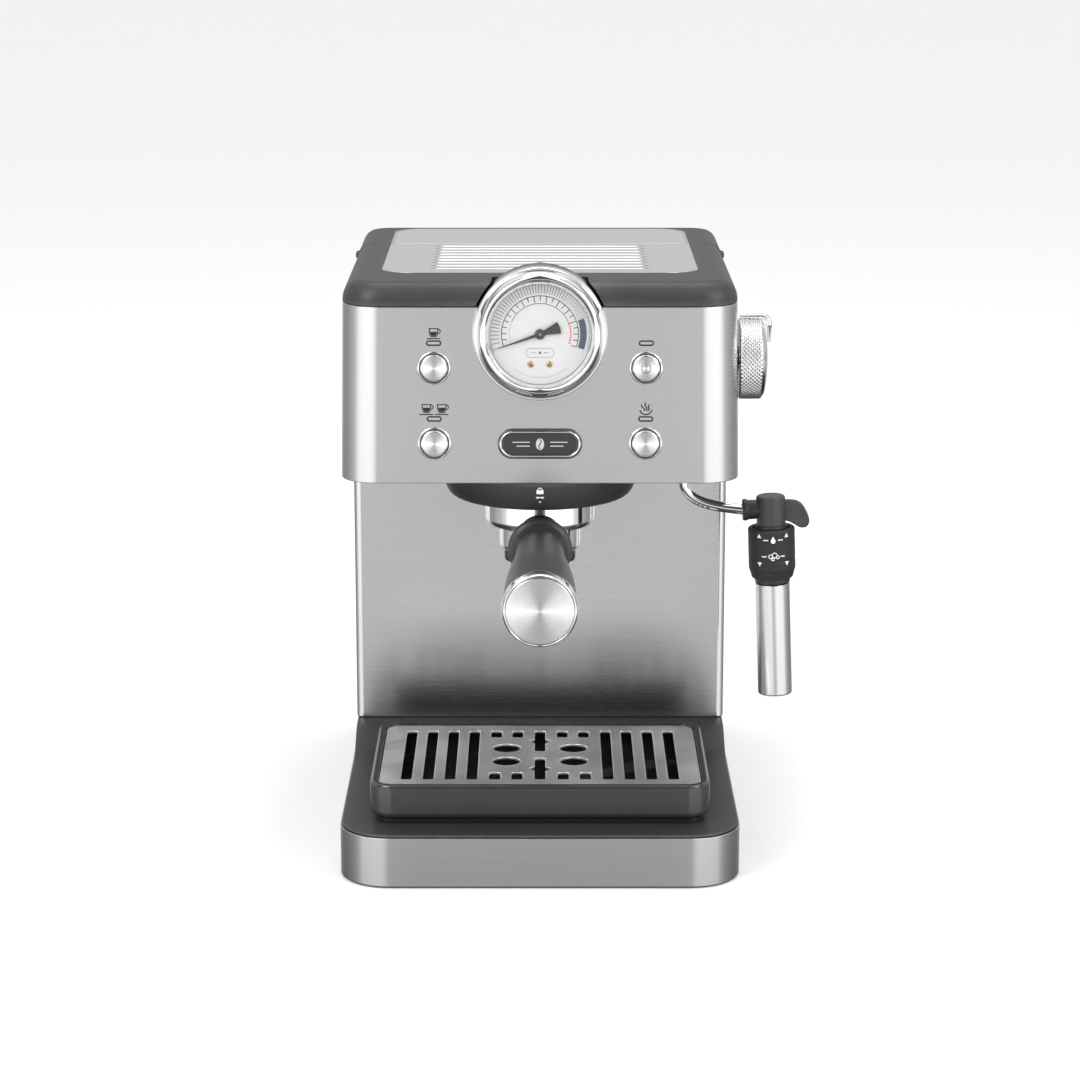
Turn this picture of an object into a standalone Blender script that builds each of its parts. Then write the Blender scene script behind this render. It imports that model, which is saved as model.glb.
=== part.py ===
"""Home espresso machine with a bayonet portafilter, a pressure gauge, a steam wand and a water tank.

Metres, +Z up. The origin is on the floor under the middle of the base, and -Y is the front.
"""

import math

import bmesh
import bpy
from mathutils import Matrix, Vector

MM = 0.001

# Overall sizes
WIDTH = 204 * MM
CUP_BAY_DEPTH = 172 * MM  # from the front of the base to the front panel
BODY_DEPTH = 120 * MM  # from the front panel to the back
DECK_HEIGHT = 28 * MM
HEAD_BOTTOM = 195 * MM
HEAD_HEIGHT = 91 * MM
LID_HEIGHT = 12 * MM

# Walls and clearances
SHEET = 1.2 * MM  # steel sheet
PLASTIC = 2.5 * MM  # moulded walls
GAP = 0.3 * MM  # between pieces that touch
PLAY = 0.5 * MM  # between pieces that move past each other

# Base
BASE_CORNER = 26 * MM
BASE_BACK_CORNER = 8 * MM
BAND_BOTTOM = 0.8 * MM
BAND_REVEAL = 1.2 * MM  # deck edge that shows above the band
FOOT_HEIGHT = 1.7 * MM
FOOT_RADIUS = 9 * MM
FOOT_HEAD_RADIUS = 11.5 * MM  # head that holds the foot in the pan's hole
FOOT_HEAD_HEIGHT = 1.5 * MM
FOOT_INSET = 24 * MM
PAN_THICKNESS = 3 * MM
DECK_SKIRT = 4 * MM
PLINTH_HEIGHT = 10.7 * MM  # ledge of the deck that the body stands on
PLINTH_REACH = 14 * MM  # how far the ledge comes forward of the panel

# Body and head
BODY_CORNER = 4 * MM
HEAD_CORNER = 19.5 * MM
HEAD_OVER = 0.5 * MM  # how far the head stands out past the body on each side
HEAD_TAPER = 1.7 * MM  # each side leans in by this much at the top
REAR_COVER_DEPTH = 6 * MM
REAR_CORNER = 5 * MM
REAR_COVER_DROP = 1.6 * MM
VENT_COUNT = 7
VENT_LENGTH = 70 * MM
VENT_WIDTH = 3 * MM
VENT_PITCH = 8 * MM
VENT_FIRST = 60 * MM  # above the plinth
GLAND_RADIUS = 7.5 * MM
GLAND_BORE = 3.4 * MM
GLAND_REACH = 2.5 * MM

# Top frame, cup plate and tank lid
LID_LENGTH = 77 * MM  # tank lid, front to back
LID_INSET = 5.9 * MM  # slope of the sides
LID_BACK_CORNER = 12 * MM
LID_SKIN = 3 * MM
LID_RIM = 11 * MM
PLATE_MARGIN = 12.6 * MM  # steel plate to the edge of the flat top
PLATE_FRONT_MARGIN = 32.4 * MM
PLATE_BACK_MARGIN = 13 * MM
PLATE_CORNER = 16 * MM
RIB_COUNT = 9
RIB_FIELD = 111 * MM
RIB_PITCH = 10.8 * MM
RIB_WIDTH = 3.8 * MM
RIB_DEPTH = 0.5 * MM
EAR_LENGTH = 9 * MM
EAR_HEIGHT = 4.5 * MM
EAR_FROM_SEAM = 10 * MM

# Water tank
PARTITION_FROM_PANEL = 44 * MM
PARTITION_THICKNESS = 3 * MM
TANK_SIDE_ROOM = 27 * MM
TANK_FLOOR = 95 * MM
TANK_DROP = 3 * MM  # rim below the top of the head
TANK_WALL = 2 * MM
TANK_CORNER = 10 * MM
TANK_VALVE_RADIUS = 7 * MM
SHELF_DROP = 11 * MM
LUG_FROM_MIDDLE = 40 * MM
LUG_WIDTH = 8 * MM
LUG_RADIUS = 3.3 * MM
HINGE_FROM_BACK = 3.6 * MM
HINGE_RISE = 4.5 * MM
HINGE_PIN_RADIUS = 1.2 * MM

# Gauge
GAUGE_RADIUS = 34.1 * MM
GAUGE_DROP = 13 * MM  # centre below the top of the head
GAUGE_REACH = 12 * MM
GAUGE_DEPTH = 22 * MM
GAUGE_WINDOW = 25.8 * MM
NEEDLE_LENGTH = 23 * MM
NEEDLE_TAIL = 11 * MM
NEEDLE_REST = math.radians(199)

# Buttons, lamps and badge
BUTTON_RADIUS = 7 * MM
BUTTON_SPREAD = 53.8 * MM
BUTTON_HIGH = 59.8 * MM  # above the bottom of the head
BUTTON_LOW = 20.8 * MM
BUTTON_PROUD = 1.6 * MM
BUTTON_LENGTH = 11 * MM
LAMP_RISE = 12.8 * MM
LAMP_WIDTH = 6.6 * MM
LAMP_HEIGHT = 1.7 * MM
BADGE_WIDTH = 43.2 * MM
BADGE_HEIGHT = 15.3 * MM
BADGE_RIM = 2 * MM
BADGE_DEPTH = 2 * MM

# Brew group and portafilter
COLLAR_RADIUS = 51 * MM
COLLAR_HEIGHT = 16 * MM
COLLAR_FRONT_ROOM = 1 * MM
COLLAR_BACK_ROOM = 3 * MM
FLANGE_RADIUS = 31.8 * MM
FLANGE_LIP = 2.8 * MM  # the flange's reach past the portafilter's bowl
OUTLET_RADIUS = 21.5 * MM
BOWL_WALL = 1.4 * MM
BASKET_ROOM = 0.4 * MM
BASKET_WALL = 0.8 * MM
LUG_REACH = 4.8 * MM
LUG_HALF_WIDTH = 9 * MM
BOWL_DEPTH = 24 * MM
OUTLET_DEPTH = 13.5 * MM
SPOUT_HALF_WIDTH = 18.9 * MM
SPOUT_RADIUS = 5.4 * MM
SPOUT_BORE = 1.9 * MM
SPOUT_HEIGHT = 7.4 * MM
STUB_RADIUS = 6.5 * MM  # boss that carries the handle
HANDLE_LENGTH = 121 * MM
HANDLE_FLANGE = 16.6 * MM
HANDLE_NECK = 12.3 * MM
HANDLE_END = 17.8 * MM
HANDLE_DROP = 39.4 * MM  # axis below the bottom of the head
CAP_RADIUS = 18.7 * MM
CAP_LENGTH = 8 * MM

# Steam knob and wand
KNOB_RADIUS = 20.9 * MM
KNOB_WIDTH = 12 * MM
KNOB_DOME = 3 * MM
KNOB_RISE = 58 * MM  # above the bottom of the head
KNOB_SETBACK = 39 * MM
KNOB_RIB_WIDTH = 4.4 * MM
RIB_PROUD = 2.6 * MM
SHAFT_RADIUS = 3 * MM
SHAFT_LENGTH = 16 * MM
VALVE_LENGTH = 24 * MM
STEAM_TURN_X = 30 * MM  # where the steam pipe turns down to the boiler
STEAM_LEAD = 0.19  # its straight start, as a share of the way to that turn
WAND_FROM_SIDE = 27 * MM
WAND_RADIUS = 2.75 * MM
WAND_DROP = 22.4 * MM
WAND_REACH = 31.2 * MM
FROTHER_REACH = 46.4 * MM
FROTHER_TILT = math.radians(2.2)
SWIVEL_RADIUS = 7.6 * MM
CORE_RADIUS = 9.3 * MM
SLEEVE_RADIUS = 12.3 * MM
SLEEVE_LENGTH = 27 * MM
SLEEVE_TRAVEL = 5 * MM
FROTHER_TUBE_RADIUS = 9 * MM
FROTHER_TUBE_LENGTH = 60.4 * MM
NOZZLE_RADIUS = 2.5 * MM

# Drip tray and grid
TRAY_SETBACK = 18 * MM
TRAY_BACK_ROOM = 40 * MM
TRAY_SIDE_ROOM = 15 * MM
TRAY_HEIGHT = 20.2 * MM
TRAY_CORNER = 12 * MM
TRAY_WALL = 4.6 * MM
TRAY_FOOT_INSET = 2.5 * MM
TRAY_FOOT_HEIGHT = 3 * MM
GRID_THICKNESS = 1.5 * MM
GRID_LEDGE = 3.5 * MM
SLOT_WIDTH = 5.6 * MM
SLOT_FIRST = 35 * MM
SLOT_PITCH = 11.2 * MM
SLOT_COUNT = 4
SLOT_MARGIN = 10 * MM
HOLE_RADIUS = 7.2 * MM
HOLE_FROM_MIDDLE = 17.6 * MM
SQUARE = 5.8 * MM

# Hidden works
BREW_HEAD_HEIGHT = 18.4 * MM
BLOCK_WIDTH = 84 * MM
BLOCK_HEIGHT = 30 * MM
PUMP_LENGTH = 66 * MM
PUMP_RADIUS = 17 * MM
PUMP_PORT = 12 * MM

# Places that follow from the sizes
BASE_DEPTH = CUP_BAY_DEPTH + BODY_DEPTH
FRONT_Y = -BASE_DEPTH / 2
BACK_Y = BASE_DEPTH / 2
PANEL_Y = FRONT_Y + CUP_BAY_DEPTH
HEAD_TOP = HEAD_BOTTOM + HEAD_HEIGHT
TOP_Z = HEAD_TOP + LID_HEIGHT
HEAD_FRONT_Y = PANEL_Y - COLLAR_BACK_ROOM - 2 * COLLAR_RADIUS - COLLAR_FRONT_ROOM
GROUP_Y = PANEL_Y - COLLAR_BACK_ROOM - COLLAR_RADIUS
BAND_TOP = DECK_HEIGHT - BAND_REVEAL - GAP
PLINTH_TOP = DECK_HEIGHT + PLINTH_HEIGHT
SHELL_BACK_Y = BACK_Y - REAR_COVER_DEPTH
SEAM_Y = BACK_Y - LID_LENGTH
HALF_HEAD = WIDTH / 2 + HEAD_OVER
HALF_TOP = HALF_HEAD - HEAD_TAPER
GAUGE_Z = HEAD_TOP - GAUGE_DROP
CASE_RADIUS = GAUGE_RADIUS - 0.9 * MM
PLATE_HALF_WIDTH = HALF_TOP - LID_INSET - PLATE_MARGIN
PLATE_Z = TOP_Z - SHEET
COLLAR_BOTTOM = HEAD_BOTTOM - COLLAR_HEIGHT
CUP_RADIUS = FLANGE_RADIUS - FLANGE_LIP
BASKET_RADIUS = CUP_RADIUS - BOWL_WALL - BASKET_ROOM
LOCK_RADIUS = FLANGE_RADIUS + LUG_REACH + 3 * MM
FLANGE_TOP = COLLAR_BOTTOM + 8 * MM
BOWL_BOTTOM = FLANGE_TOP - BOWL_DEPTH
OUTLET_BOTTOM = BOWL_BOTTOM - OUTLET_DEPTH
HANDLE_Z = HEAD_BOTTOM - HANDLE_DROP
HANDLE_FRONT_Y = GROUP_Y - CUP_RADIUS - 2 * MM
KNOB_Y = HEAD_FRONT_Y + KNOB_SETBACK
KNOB_Z = HEAD_BOTTOM + KNOB_RISE
WAND_X = WIDTH / 2 - WAND_FROM_SIDE
WAND_Y = KNOB_Y
WAND_END_Z = HEAD_BOTTOM - WAND_DROP
FROTHER_X = WAND_X + FROTHER_REACH
PARTITION_Y = PANEL_Y + PARTITION_FROM_PANEL
TANK_HALF_WIDTH = WIDTH / 2 - TANK_SIDE_ROOM
TANK_FRONT_Y = PARTITION_Y + PARTITION_THICKNESS + 3 * MM
TANK_BACK_Y = SHELL_BACK_Y - 3 * MM
TANK_MIDDLE_Y = (TANK_FRONT_Y + TANK_BACK_Y) / 2
TANK_TOP = HEAD_TOP - TANK_DROP
SHELF_TOP = TANK_FLOOR - SHELF_DROP + GAP
HINGE_Y = BACK_Y - HINGE_FROM_BACK
HINGE_Z = HEAD_TOP + HINGE_RISE
TRAY_HALF_WIDTH = WIDTH / 2 - TRAY_SIDE_ROOM
TRAY_FRONT_Y = FRONT_Y + TRAY_SETBACK
TRAY_BACK_Y = PANEL_Y - TRAY_BACK_ROOM
TRAY_FLOOR = DECK_HEIGHT + GAP
TRAY_TOP = TRAY_FLOOR + TRAY_HEIGHT
GRID_TOP = TRAY_TOP - 1 * MM
GRID_HALF_WIDTH = TRAY_HALF_WIDTH - TRAY_WALL
GRID_FRONT_Y = TRAY_FRONT_Y + TRAY_WALL
GRID_BACK_Y = TRAY_BACK_Y - TRAY_WALL
GRID_MIDDLE_Y = (GRID_FRONT_Y + GRID_BACK_Y) / 2

FINE = 32  # facets round a large turned piece
MEDIUM = 20
SMALL = 16


# Scene, materials and building tools


def clear_scene():
    for obj in list(bpy.data.objects):
        bpy.data.objects.remove(obj, do_unlink=True)


def new_collection(name):
    holder = bpy.data.collections.new(name)
    bpy.context.scene.collection.children.link(holder)
    return holder


def new_finish(name, colour, roughness, metallic):
    finish = bpy.data.materials.new(name)
    finish.use_nodes = True
    shader = finish.node_tree.nodes["Principled BSDF"]
    shader.inputs["Base Color"].default_value = (*colour, 1)
    shader.inputs["Roughness"].default_value = roughness
    shader.inputs["Metallic"].default_value = metallic
    return finish


clear_scene()
PARTS = new_collection("espresso_machine")
CUTTERS = new_collection("cutters")
CUTTERS.hide_render = True

BRUSHED = new_finish("brushed_steel", (0.62, 0.62, 0.63), 0.35, 1)
CHROME = new_finish("chrome", (0.85, 0.85, 0.86), 0.08, 1)
BLACK = new_finish("black_plastic", (0.06, 0.06, 0.06), 0.4, 0)
GLOSS = new_finish("gloss_black", (0.03, 0.03, 0.03), 0.15, 0)
RUBBER = new_finish("rubber", (0.02, 0.02, 0.02), 0.8, 0)
CLEAR = new_finish("clear", (0.9, 0.92, 0.94), 0.05, 0)
DIAL = new_finish("dial_white", (0.85, 0.85, 0.84), 0.5, 0)
CAST = new_finish("cast_aluminium", (0.55, 0.55, 0.56), 0.5, 1)
BOARD = new_finish("circuit_board", (0.03, 0.2, 0.08), 0.5, 0)
BRASS = new_finish("brass", (0.7, 0.5, 0.22), 0.3, 1)
TANK = new_finish("smoked_plastic", (0.25, 0.27, 0.3), 0.15, 0)


def new_object(name, mesh, finish):
    """An object in the model, or a cutter when it has no finish."""
    obj = bpy.data.objects.new(name, mesh)
    if finish is None:
        CUTTERS.objects.link(obj)
        obj.hide_render = True
        obj.display_type = "WIRE"
    else:
        PARTS.objects.link(obj)
        mesh.materials.append(finish)
    return obj


def mesh_from_curve(curve, matrix):
    """The curve's closed mesh, with its caps welded on and its faces pointing out."""
    guide = bpy.data.objects.new("guide", curve)
    bpy.context.scene.collection.objects.link(guide)
    bpy.context.view_layer.update()
    graph = bpy.context.evaluated_depsgraph_get()
    mesh = bpy.data.meshes.new_from_object(guide.evaluated_get(graph))
    bpy.data.objects.remove(guide, do_unlink=True)
    bm = bmesh.new()
    bm.from_mesh(mesh)
    bmesh.ops.remove_doubles(bm, verts=bm.verts, dist=1e-6)
    bmesh.ops.transform(bm, matrix=matrix, verts=bm.verts)
    bmesh.ops.recalc_face_normals(bm, faces=bm.faces)
    bm.to_mesh(mesh)
    bm.free()
    return mesh


# An outline lies in one of these planes, and a prism runs along the axis across it.
ALONG_Z = Matrix.Identity(4)
ALONG_Y = Matrix(((1, 0, 0, 0), (0, 0, -1, 0), (0, 1, 0, 0), (0, 0, 0, 1)))
ALONG_X = Matrix(((0, 0, 1, 0), (1, 0, 0, 0), (0, 1, 0, 0), (0, 0, 0, 1)))


def prism(name, outline, low, high, finish=None, turn=ALONG_Z):
    """A flat outline given thickness between two places on the axis that runs across it."""
    curve = bpy.data.curves.new(name, "CURVE")
    curve.dimensions = "2D"
    curve.fill_mode = "BOTH"
    curve.extrude = (high - low) / 2
    spline = curve.splines.new("POLY")
    spline.points.add(len(outline) - 1)
    for point, (x, y) in zip(spline.points, outline):
        point.co = (x, y, 0, 1)
    spline.use_cyclic_u = True
    middle = (low + high) / 2
    along = -middle if turn is ALONG_Y else middle
    mesh = mesh_from_curve(curve, turn @ Matrix.Translation((0, 0, along)))
    return new_object(name, mesh, finish)


def box(name, low, high, finish=None):
    bm = bmesh.new()
    bmesh.ops.create_cube(bm, size=1)
    size = Vector(high) - Vector(low)
    middle = (Vector(high) + Vector(low)) / 2
    bmesh.ops.scale(bm, vec=size, verts=bm.verts)
    bmesh.ops.translate(bm, vec=middle, verts=bm.verts)
    mesh = bpy.data.meshes.new(name)
    bm.to_mesh(mesh)
    bm.free()
    return new_object(name, mesh, finish)


def boxes(name, corners):
    """One cutter made of several boxes that stand apart."""
    bm = bmesh.new()
    for low, high in corners:
        made = bmesh.ops.create_cube(bm, size=1)["verts"]
        bmesh.ops.scale(bm, vec=Vector(high) - Vector(low), verts=made)
        bmesh.ops.translate(bm, vec=(Vector(high) + Vector(low)) / 2, verts=made)
    mesh = bpy.data.meshes.new(name)
    bm.to_mesh(mesh)
    bm.free()
    return new_object(name, mesh, None)


TURN_TO_X = Matrix.Rotation(math.pi / 2, 4, "Y")
TURN_TO_FRONT = Matrix.Rotation(math.pi / 2, 4, "X")  # local +Z faces -Y


def rod(name, radius, low, high, place, turn=None, finish=None, sides=SMALL):
    """A cylinder between two heights on its own axis, which passes through a place."""
    bm = bmesh.new()
    bmesh.ops.create_cone(
        bm, cap_ends=True, segments=sides, radius1=radius, radius2=radius, depth=high - low
    )
    bmesh.ops.translate(bm, vec=(0, 0, (low + high) / 2), verts=bm.verts)
    matrix = Matrix.Translation(place) @ (turn or Matrix.Identity(4))
    bmesh.ops.transform(bm, matrix=matrix, verts=bm.verts)
    mesh = bpy.data.meshes.new(name)
    bm.to_mesh(mesh)
    bm.free()
    return new_object(name, mesh, finish)


def turned(name, profile, place, finish, turn=None, sides=FINE, ring=False):
    """A profile of (radius, height) points turned round its axis. A ring's profile is a closed loop."""
    mesh = bpy.data.meshes.new(name)
    count = len(profile)
    edges = [(i, i + 1) for i in range(count - 1)]
    if ring:
        edges.append((count - 1, 0))
    mesh.from_pydata([(radius, 0, height) for radius, height in profile], edges, [])
    obj = new_object(name, mesh, finish)
    obj.matrix_world = Matrix.Translation(place) @ (turn or Matrix.Identity(4))
    screw = obj.modifiers.new("turn", "SCREW")
    screw.steps = sides
    screw.render_steps = sides
    screw.use_merge_vertices = True
    screw.merge_threshold = 0.000001
    screw.use_smooth_shade = True
    return obj


def wall(name, outline, low, high, thickness, finish, closed=False):
    """Sheet that stands on an outline, with its thickness on the inner side."""
    bm = bmesh.new()
    lower = [bm.verts.new((x, y, low)) for x, y in outline]
    pairs = list(zip(lower, lower[1:]))
    if closed:
        pairs.append((lower[-1], lower[0]))
    edges = [bm.edges.new(pair) for pair in pairs]
    upper = bmesh.ops.extrude_edge_only(bm, edges=edges)["geom"]
    raised = [item for item in upper if isinstance(item, bmesh.types.BMVert)]
    bmesh.ops.translate(bm, vec=(0, 0, high - low), verts=raised)
    bmesh.ops.recalc_face_normals(bm, faces=bm.faces)
    front = min(bm.faces, key=lambda face: face.calc_center_median().y)
    if front.normal.y > 0:
        bmesh.ops.reverse_faces(bm, faces=bm.faces)
    mesh = bpy.data.meshes.new(name)
    bm.to_mesh(mesh)
    bm.free()
    obj = new_object(name, mesh, finish)
    solidify = obj.modifiers.new("sheet", "SOLIDIFY")
    solidify.thickness = thickness
    solidify.offset = -1
    solidify.use_even_offset = True
    return obj


def tube(name, points, radius, finish, pieces=4):
    """A round tube along a smooth curve through the points."""
    path = []
    ends = [points[0], *points, points[-1]]
    for a, b, c, d in zip(ends, ends[1:], ends[2:], ends[3:]):
        for step in range(pieces):
            path.append(spline_point(a, b, c, d, step / pieces))
    path.append(Vector(points[-1]))
    curve = bpy.data.curves.new(name, "CURVE")
    curve.dimensions = "3D"
    curve.bevel_depth = radius
    curve.bevel_resolution = 2
    curve.use_fill_caps = True
    spline = curve.splines.new("POLY")
    spline.points.add(len(path) - 1)
    for point, place in zip(spline.points, path):
        point.co = (*place, 1)
    mesh = mesh_from_curve(curve, Matrix.Identity(4))
    return new_object(name, mesh, finish)


def spline_point(a, b, c, d, t):
    """Catmull-Rom curve from b to c."""
    a, b, c, d = (Vector(point) for point in (a, b, c, d))
    return 0.5 * (
        2 * b + (c - a) * t + (2 * a - 5 * b + 4 * c - d) * t**2 + (3 * b - a - 3 * c + d) * t**3
    )


def combine(obj, other, operation):
    modifier = obj.modifiers.new(other.name, "BOOLEAN")
    modifier.operation = operation
    modifier.object = other


def cut(obj, *others):
    for other in others:
        combine(obj, other, "DIFFERENCE")


def join(obj, *others):
    for other in others:
        combine(obj, other, "UNION")


def taper(obj, low, high, half_width, side, front_y=None, front=0, back_y=0):
    """Leans the sides, and the front if it is given, inwards between two heights."""
    for vertex in obj.data.vertices:
        rise = (vertex.co.z - low) / (high - low)
        vertex.co.x *= 1 - rise * side / half_width
        if front_y is not None:
            share = (back_y - vertex.co.y) / (back_y - front_y)
            vertex.co.y += rise * front * share


def pivot(name, place, turn=None):
    """An empty on a joint's axis, which carries the pieces that move with it."""
    empty = bpy.data.objects.new(name, None)
    empty.empty_display_size = 10 * MM
    PARTS.objects.link(empty)
    empty.matrix_world = Matrix.Translation(place) @ (turn or Matrix.Identity(4))
    return empty


def attach(empty, *pieces):
    """Parents pieces to an empty, and leaves them where they are."""
    bpy.context.view_layer.update()
    for piece in pieces:
        piece.parent = empty
        piece.matrix_parent_inverse = empty.matrix_world.inverted()


def seat(empty, *pieces):
    """Parents pieces whose meshes are in the empty's own frame."""
    for piece in pieces:
        piece.parent = empty


# Outlines


def arc(x, y, radius, start, end, steps=6):
    angles = [math.radians(start + (end - start) * i / steps) for i in range(steps + 1)]
    return [(x + radius * math.cos(a), y + radius * math.sin(a)) for a in angles]


def rounded(half, front, back, front_radius, back_radius, steps=5):
    """A rectangle about X = 0 with rounded corners, anticlockwise from its front right corner."""
    near, far = front_radius, back_radius
    return [
        *arc(half - near, front + near, near, -90, 0, steps),
        *arc(half - far, back - far, far, 0, 90, steps),
        *arc(-half + far, back - far, far, 90, 180, steps),
        *arc(-half + near, front + near, near, 180, 270, steps),
    ]


def u_outline(half, front, back, radius, steps=7):
    """Left side, front and right side of a casing that is open at the back."""
    return [
        (-half, back),
        *arc(-half + radius, front + radius, radius, 180, 270, steps),
        *arc(half - radius, front + radius, radius, 270, 360, steps),
        (half, back),
    ]


def stadium(x, y, width, height, steps=8):
    """A bar with round ends, lying along its longer side."""
    if width >= height:
        r, run = height / 2, (width - height) / 2
        return arc(x + run, y, r, -90, 90, steps) + arc(x - run, y, r, 90, 270, steps)
    r, run = width / 2, (height - width) / 2
    return arc(x, y + run, r, 0, 180, steps) + arc(x, y - run, r, 180, 360, steps)


# Base: bottom pan, steel band, deck and feet


def build_base():
    half = WIDTH / 2
    inset = SHEET + GAP
    pan_low = FOOT_HEIGHT + GAP
    near, far = BASE_CORNER - inset, BASE_BACK_CORNER - inset
    inner = rounded(half - inset, FRONT_Y + inset, BACK_Y - inset, near, far)
    pan = prism("base_pan", inner, pan_low, pan_low + PAN_THICKNESS, BLACK)

    ring = rounded(half, FRONT_Y, BACK_Y, BASE_CORNER, BASE_BACK_CORNER)
    wall("base_band", ring, BAND_BOTTOM, BAND_TOP, SHEET, BRUSHED, closed=True)

    reveal = 0.6 * MM
    near, far = BASE_CORNER - reveal, BASE_BACK_CORNER - reveal
    edge = rounded(half - reveal, FRONT_Y + reveal, BACK_Y - reveal, near, far)
    deck = prism("base_deck", edge, DECK_HEIGHT - BAND_REVEAL, PLINTH_TOP, BLACK)
    soft = PANEL_Y - PLINTH_REACH
    above = [
        (FRONT_Y - 10 * MM, DECK_HEIGHT),
        (TRAY_BACK_Y + 2 * MM, DECK_HEIGHT),
        (soft - 8 * MM, DECK_HEIGHT + 0.25 * PLINTH_HEIGHT),
        (soft, DECK_HEIGHT + 0.8 * PLINTH_HEIGHT),
        (soft + 4 * MM, PLINTH_TOP),
        (soft + 4 * MM, PLINTH_TOP + 10 * MM),
        (FRONT_Y - 10 * MM, PLINTH_TOP + 10 * MM),
    ]
    cut(deck, prism("deck_slope_cutter", above, -WIDTH, WIDTH, turn=ALONG_X))
    edge_bottom = DECK_HEIGHT - BAND_REVEAL
    skirt_outline = [(x * 0.999, y * 0.999) for x, y in inner]
    skirt = prism("deck_skirt", skirt_outline, edge_bottom - DECK_SKIRT, edge_bottom + 0.5 * BAND_REVEAL)
    join(deck, skirt)

    for side, hand in ((-1, "left"), (1, "right")):
        for end, place in ((FRONT_Y + FOOT_INSET, "front"), (BACK_Y - FOOT_INSET, "rear")):
            middle = (side * (half - FOOT_INSET), end, 0)
            head_low = pan_low + PAN_THICKNESS + GAP
            foot = [
                (0, head_low + FOOT_HEAD_HEIGHT),
                (FOOT_HEAD_RADIUS, head_low + FOOT_HEAD_HEIGHT),
                (FOOT_HEAD_RADIUS, head_low),
                (FOOT_RADIUS, head_low),
                (FOOT_RADIUS, 0),
                (0, 0),
            ]
            turned(f"foot_{place}_{hand}", foot, middle, RUBBER, sides=SMALL)
            cut(pan, rod(f"foot_hole_{place}_{hand}", FOOT_RADIUS + GAP, 0, 10 * MM, middle))


# Body: steel wrap, rear cover and power gland


def build_body():
    low = PLINTH_TOP + GAP
    outline = u_outline(WIDTH / 2, PANEL_Y, SHELL_BACK_Y, BODY_CORNER)
    wall("body_wrap", outline, low, HEAD_BOTTOM - GAP, SHEET, BRUSHED)

    half = WIDTH / 2 - GAP
    front, back = SHELL_BACK_Y + GAP, BACK_Y
    r = REAR_CORNER
    cover_outline = [
        (half, front),
        *arc(half - r, back - r, r, 0, 90, 4),
        *arc(-half + r, back - r, r, 90, 180, 4),
        (-half, front),
        (-half + PLASTIC, front),
        (-half + PLASTIC, back - PLASTIC),
        (half - PLASTIC, back - PLASTIC),
        (half - PLASTIC, front),
    ]
    cover = prism("rear_cover", cover_outline, low, HEAD_TOP - REAR_COVER_DROP, BLACK)
    vents = []
    for i in range(VENT_COUNT):
        z = PLINTH_TOP + VENT_FIRST + i * VENT_PITCH
        reach = VENT_LENGTH / 2
        vents.append(((-reach, back - 5 * MM, z), (reach, back + 5 * MM, z + VENT_WIDTH)))
    cut(cover, boxes("vent_cutter", vents))

    gland_place = (-WIDTH / 2 + 30 * MM, back, PLINTH_TOP + 20 * MM)
    hole = rod("gland_cutter", GLAND_RADIUS - 2 * MM, -10 * MM, 10 * MM, gland_place, TURN_TO_FRONT)
    cut(cover, hole)
    r = GLAND_RADIUS
    inner = r - 2 * MM - GAP
    gland = [
        (r, -GAP),
        (r, -GAP - 1 * MM),
        (r - 1.5 * MM, -GLAND_REACH),
        (GLAND_BORE, -GLAND_REACH),
        (GLAND_BORE, 8 * MM),
        (inner, 8 * MM),
        (inner, -GAP),
    ]
    turned("power_gland", gland, gland_place, RUBBER, TURN_TO_FRONT, 16, ring=True)


# Head: steel shell, underside, top frame and steel cup plate


def gauge_cutter(name, radius, depth):
    place = (0, HEAD_FRONT_Y, GAUGE_Z)
    return rod(name, radius, -depth, GAUGE_REACH + 5 * MM, place, TURN_TO_FRONT, sides=FINE)


def button_places():
    """Name, X and Z of each button."""
    high, low = HEAD_BOTTOM + BUTTON_HIGH, HEAD_BOTTOM + BUTTON_LOW
    return (
        ("single_cup", -BUTTON_SPREAD, high),
        ("double_cup", -BUTTON_SPREAD, low),
        ("power", BUTTON_SPREAD, high),
        ("steam", BUTTON_SPREAD, low),
    )


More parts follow.
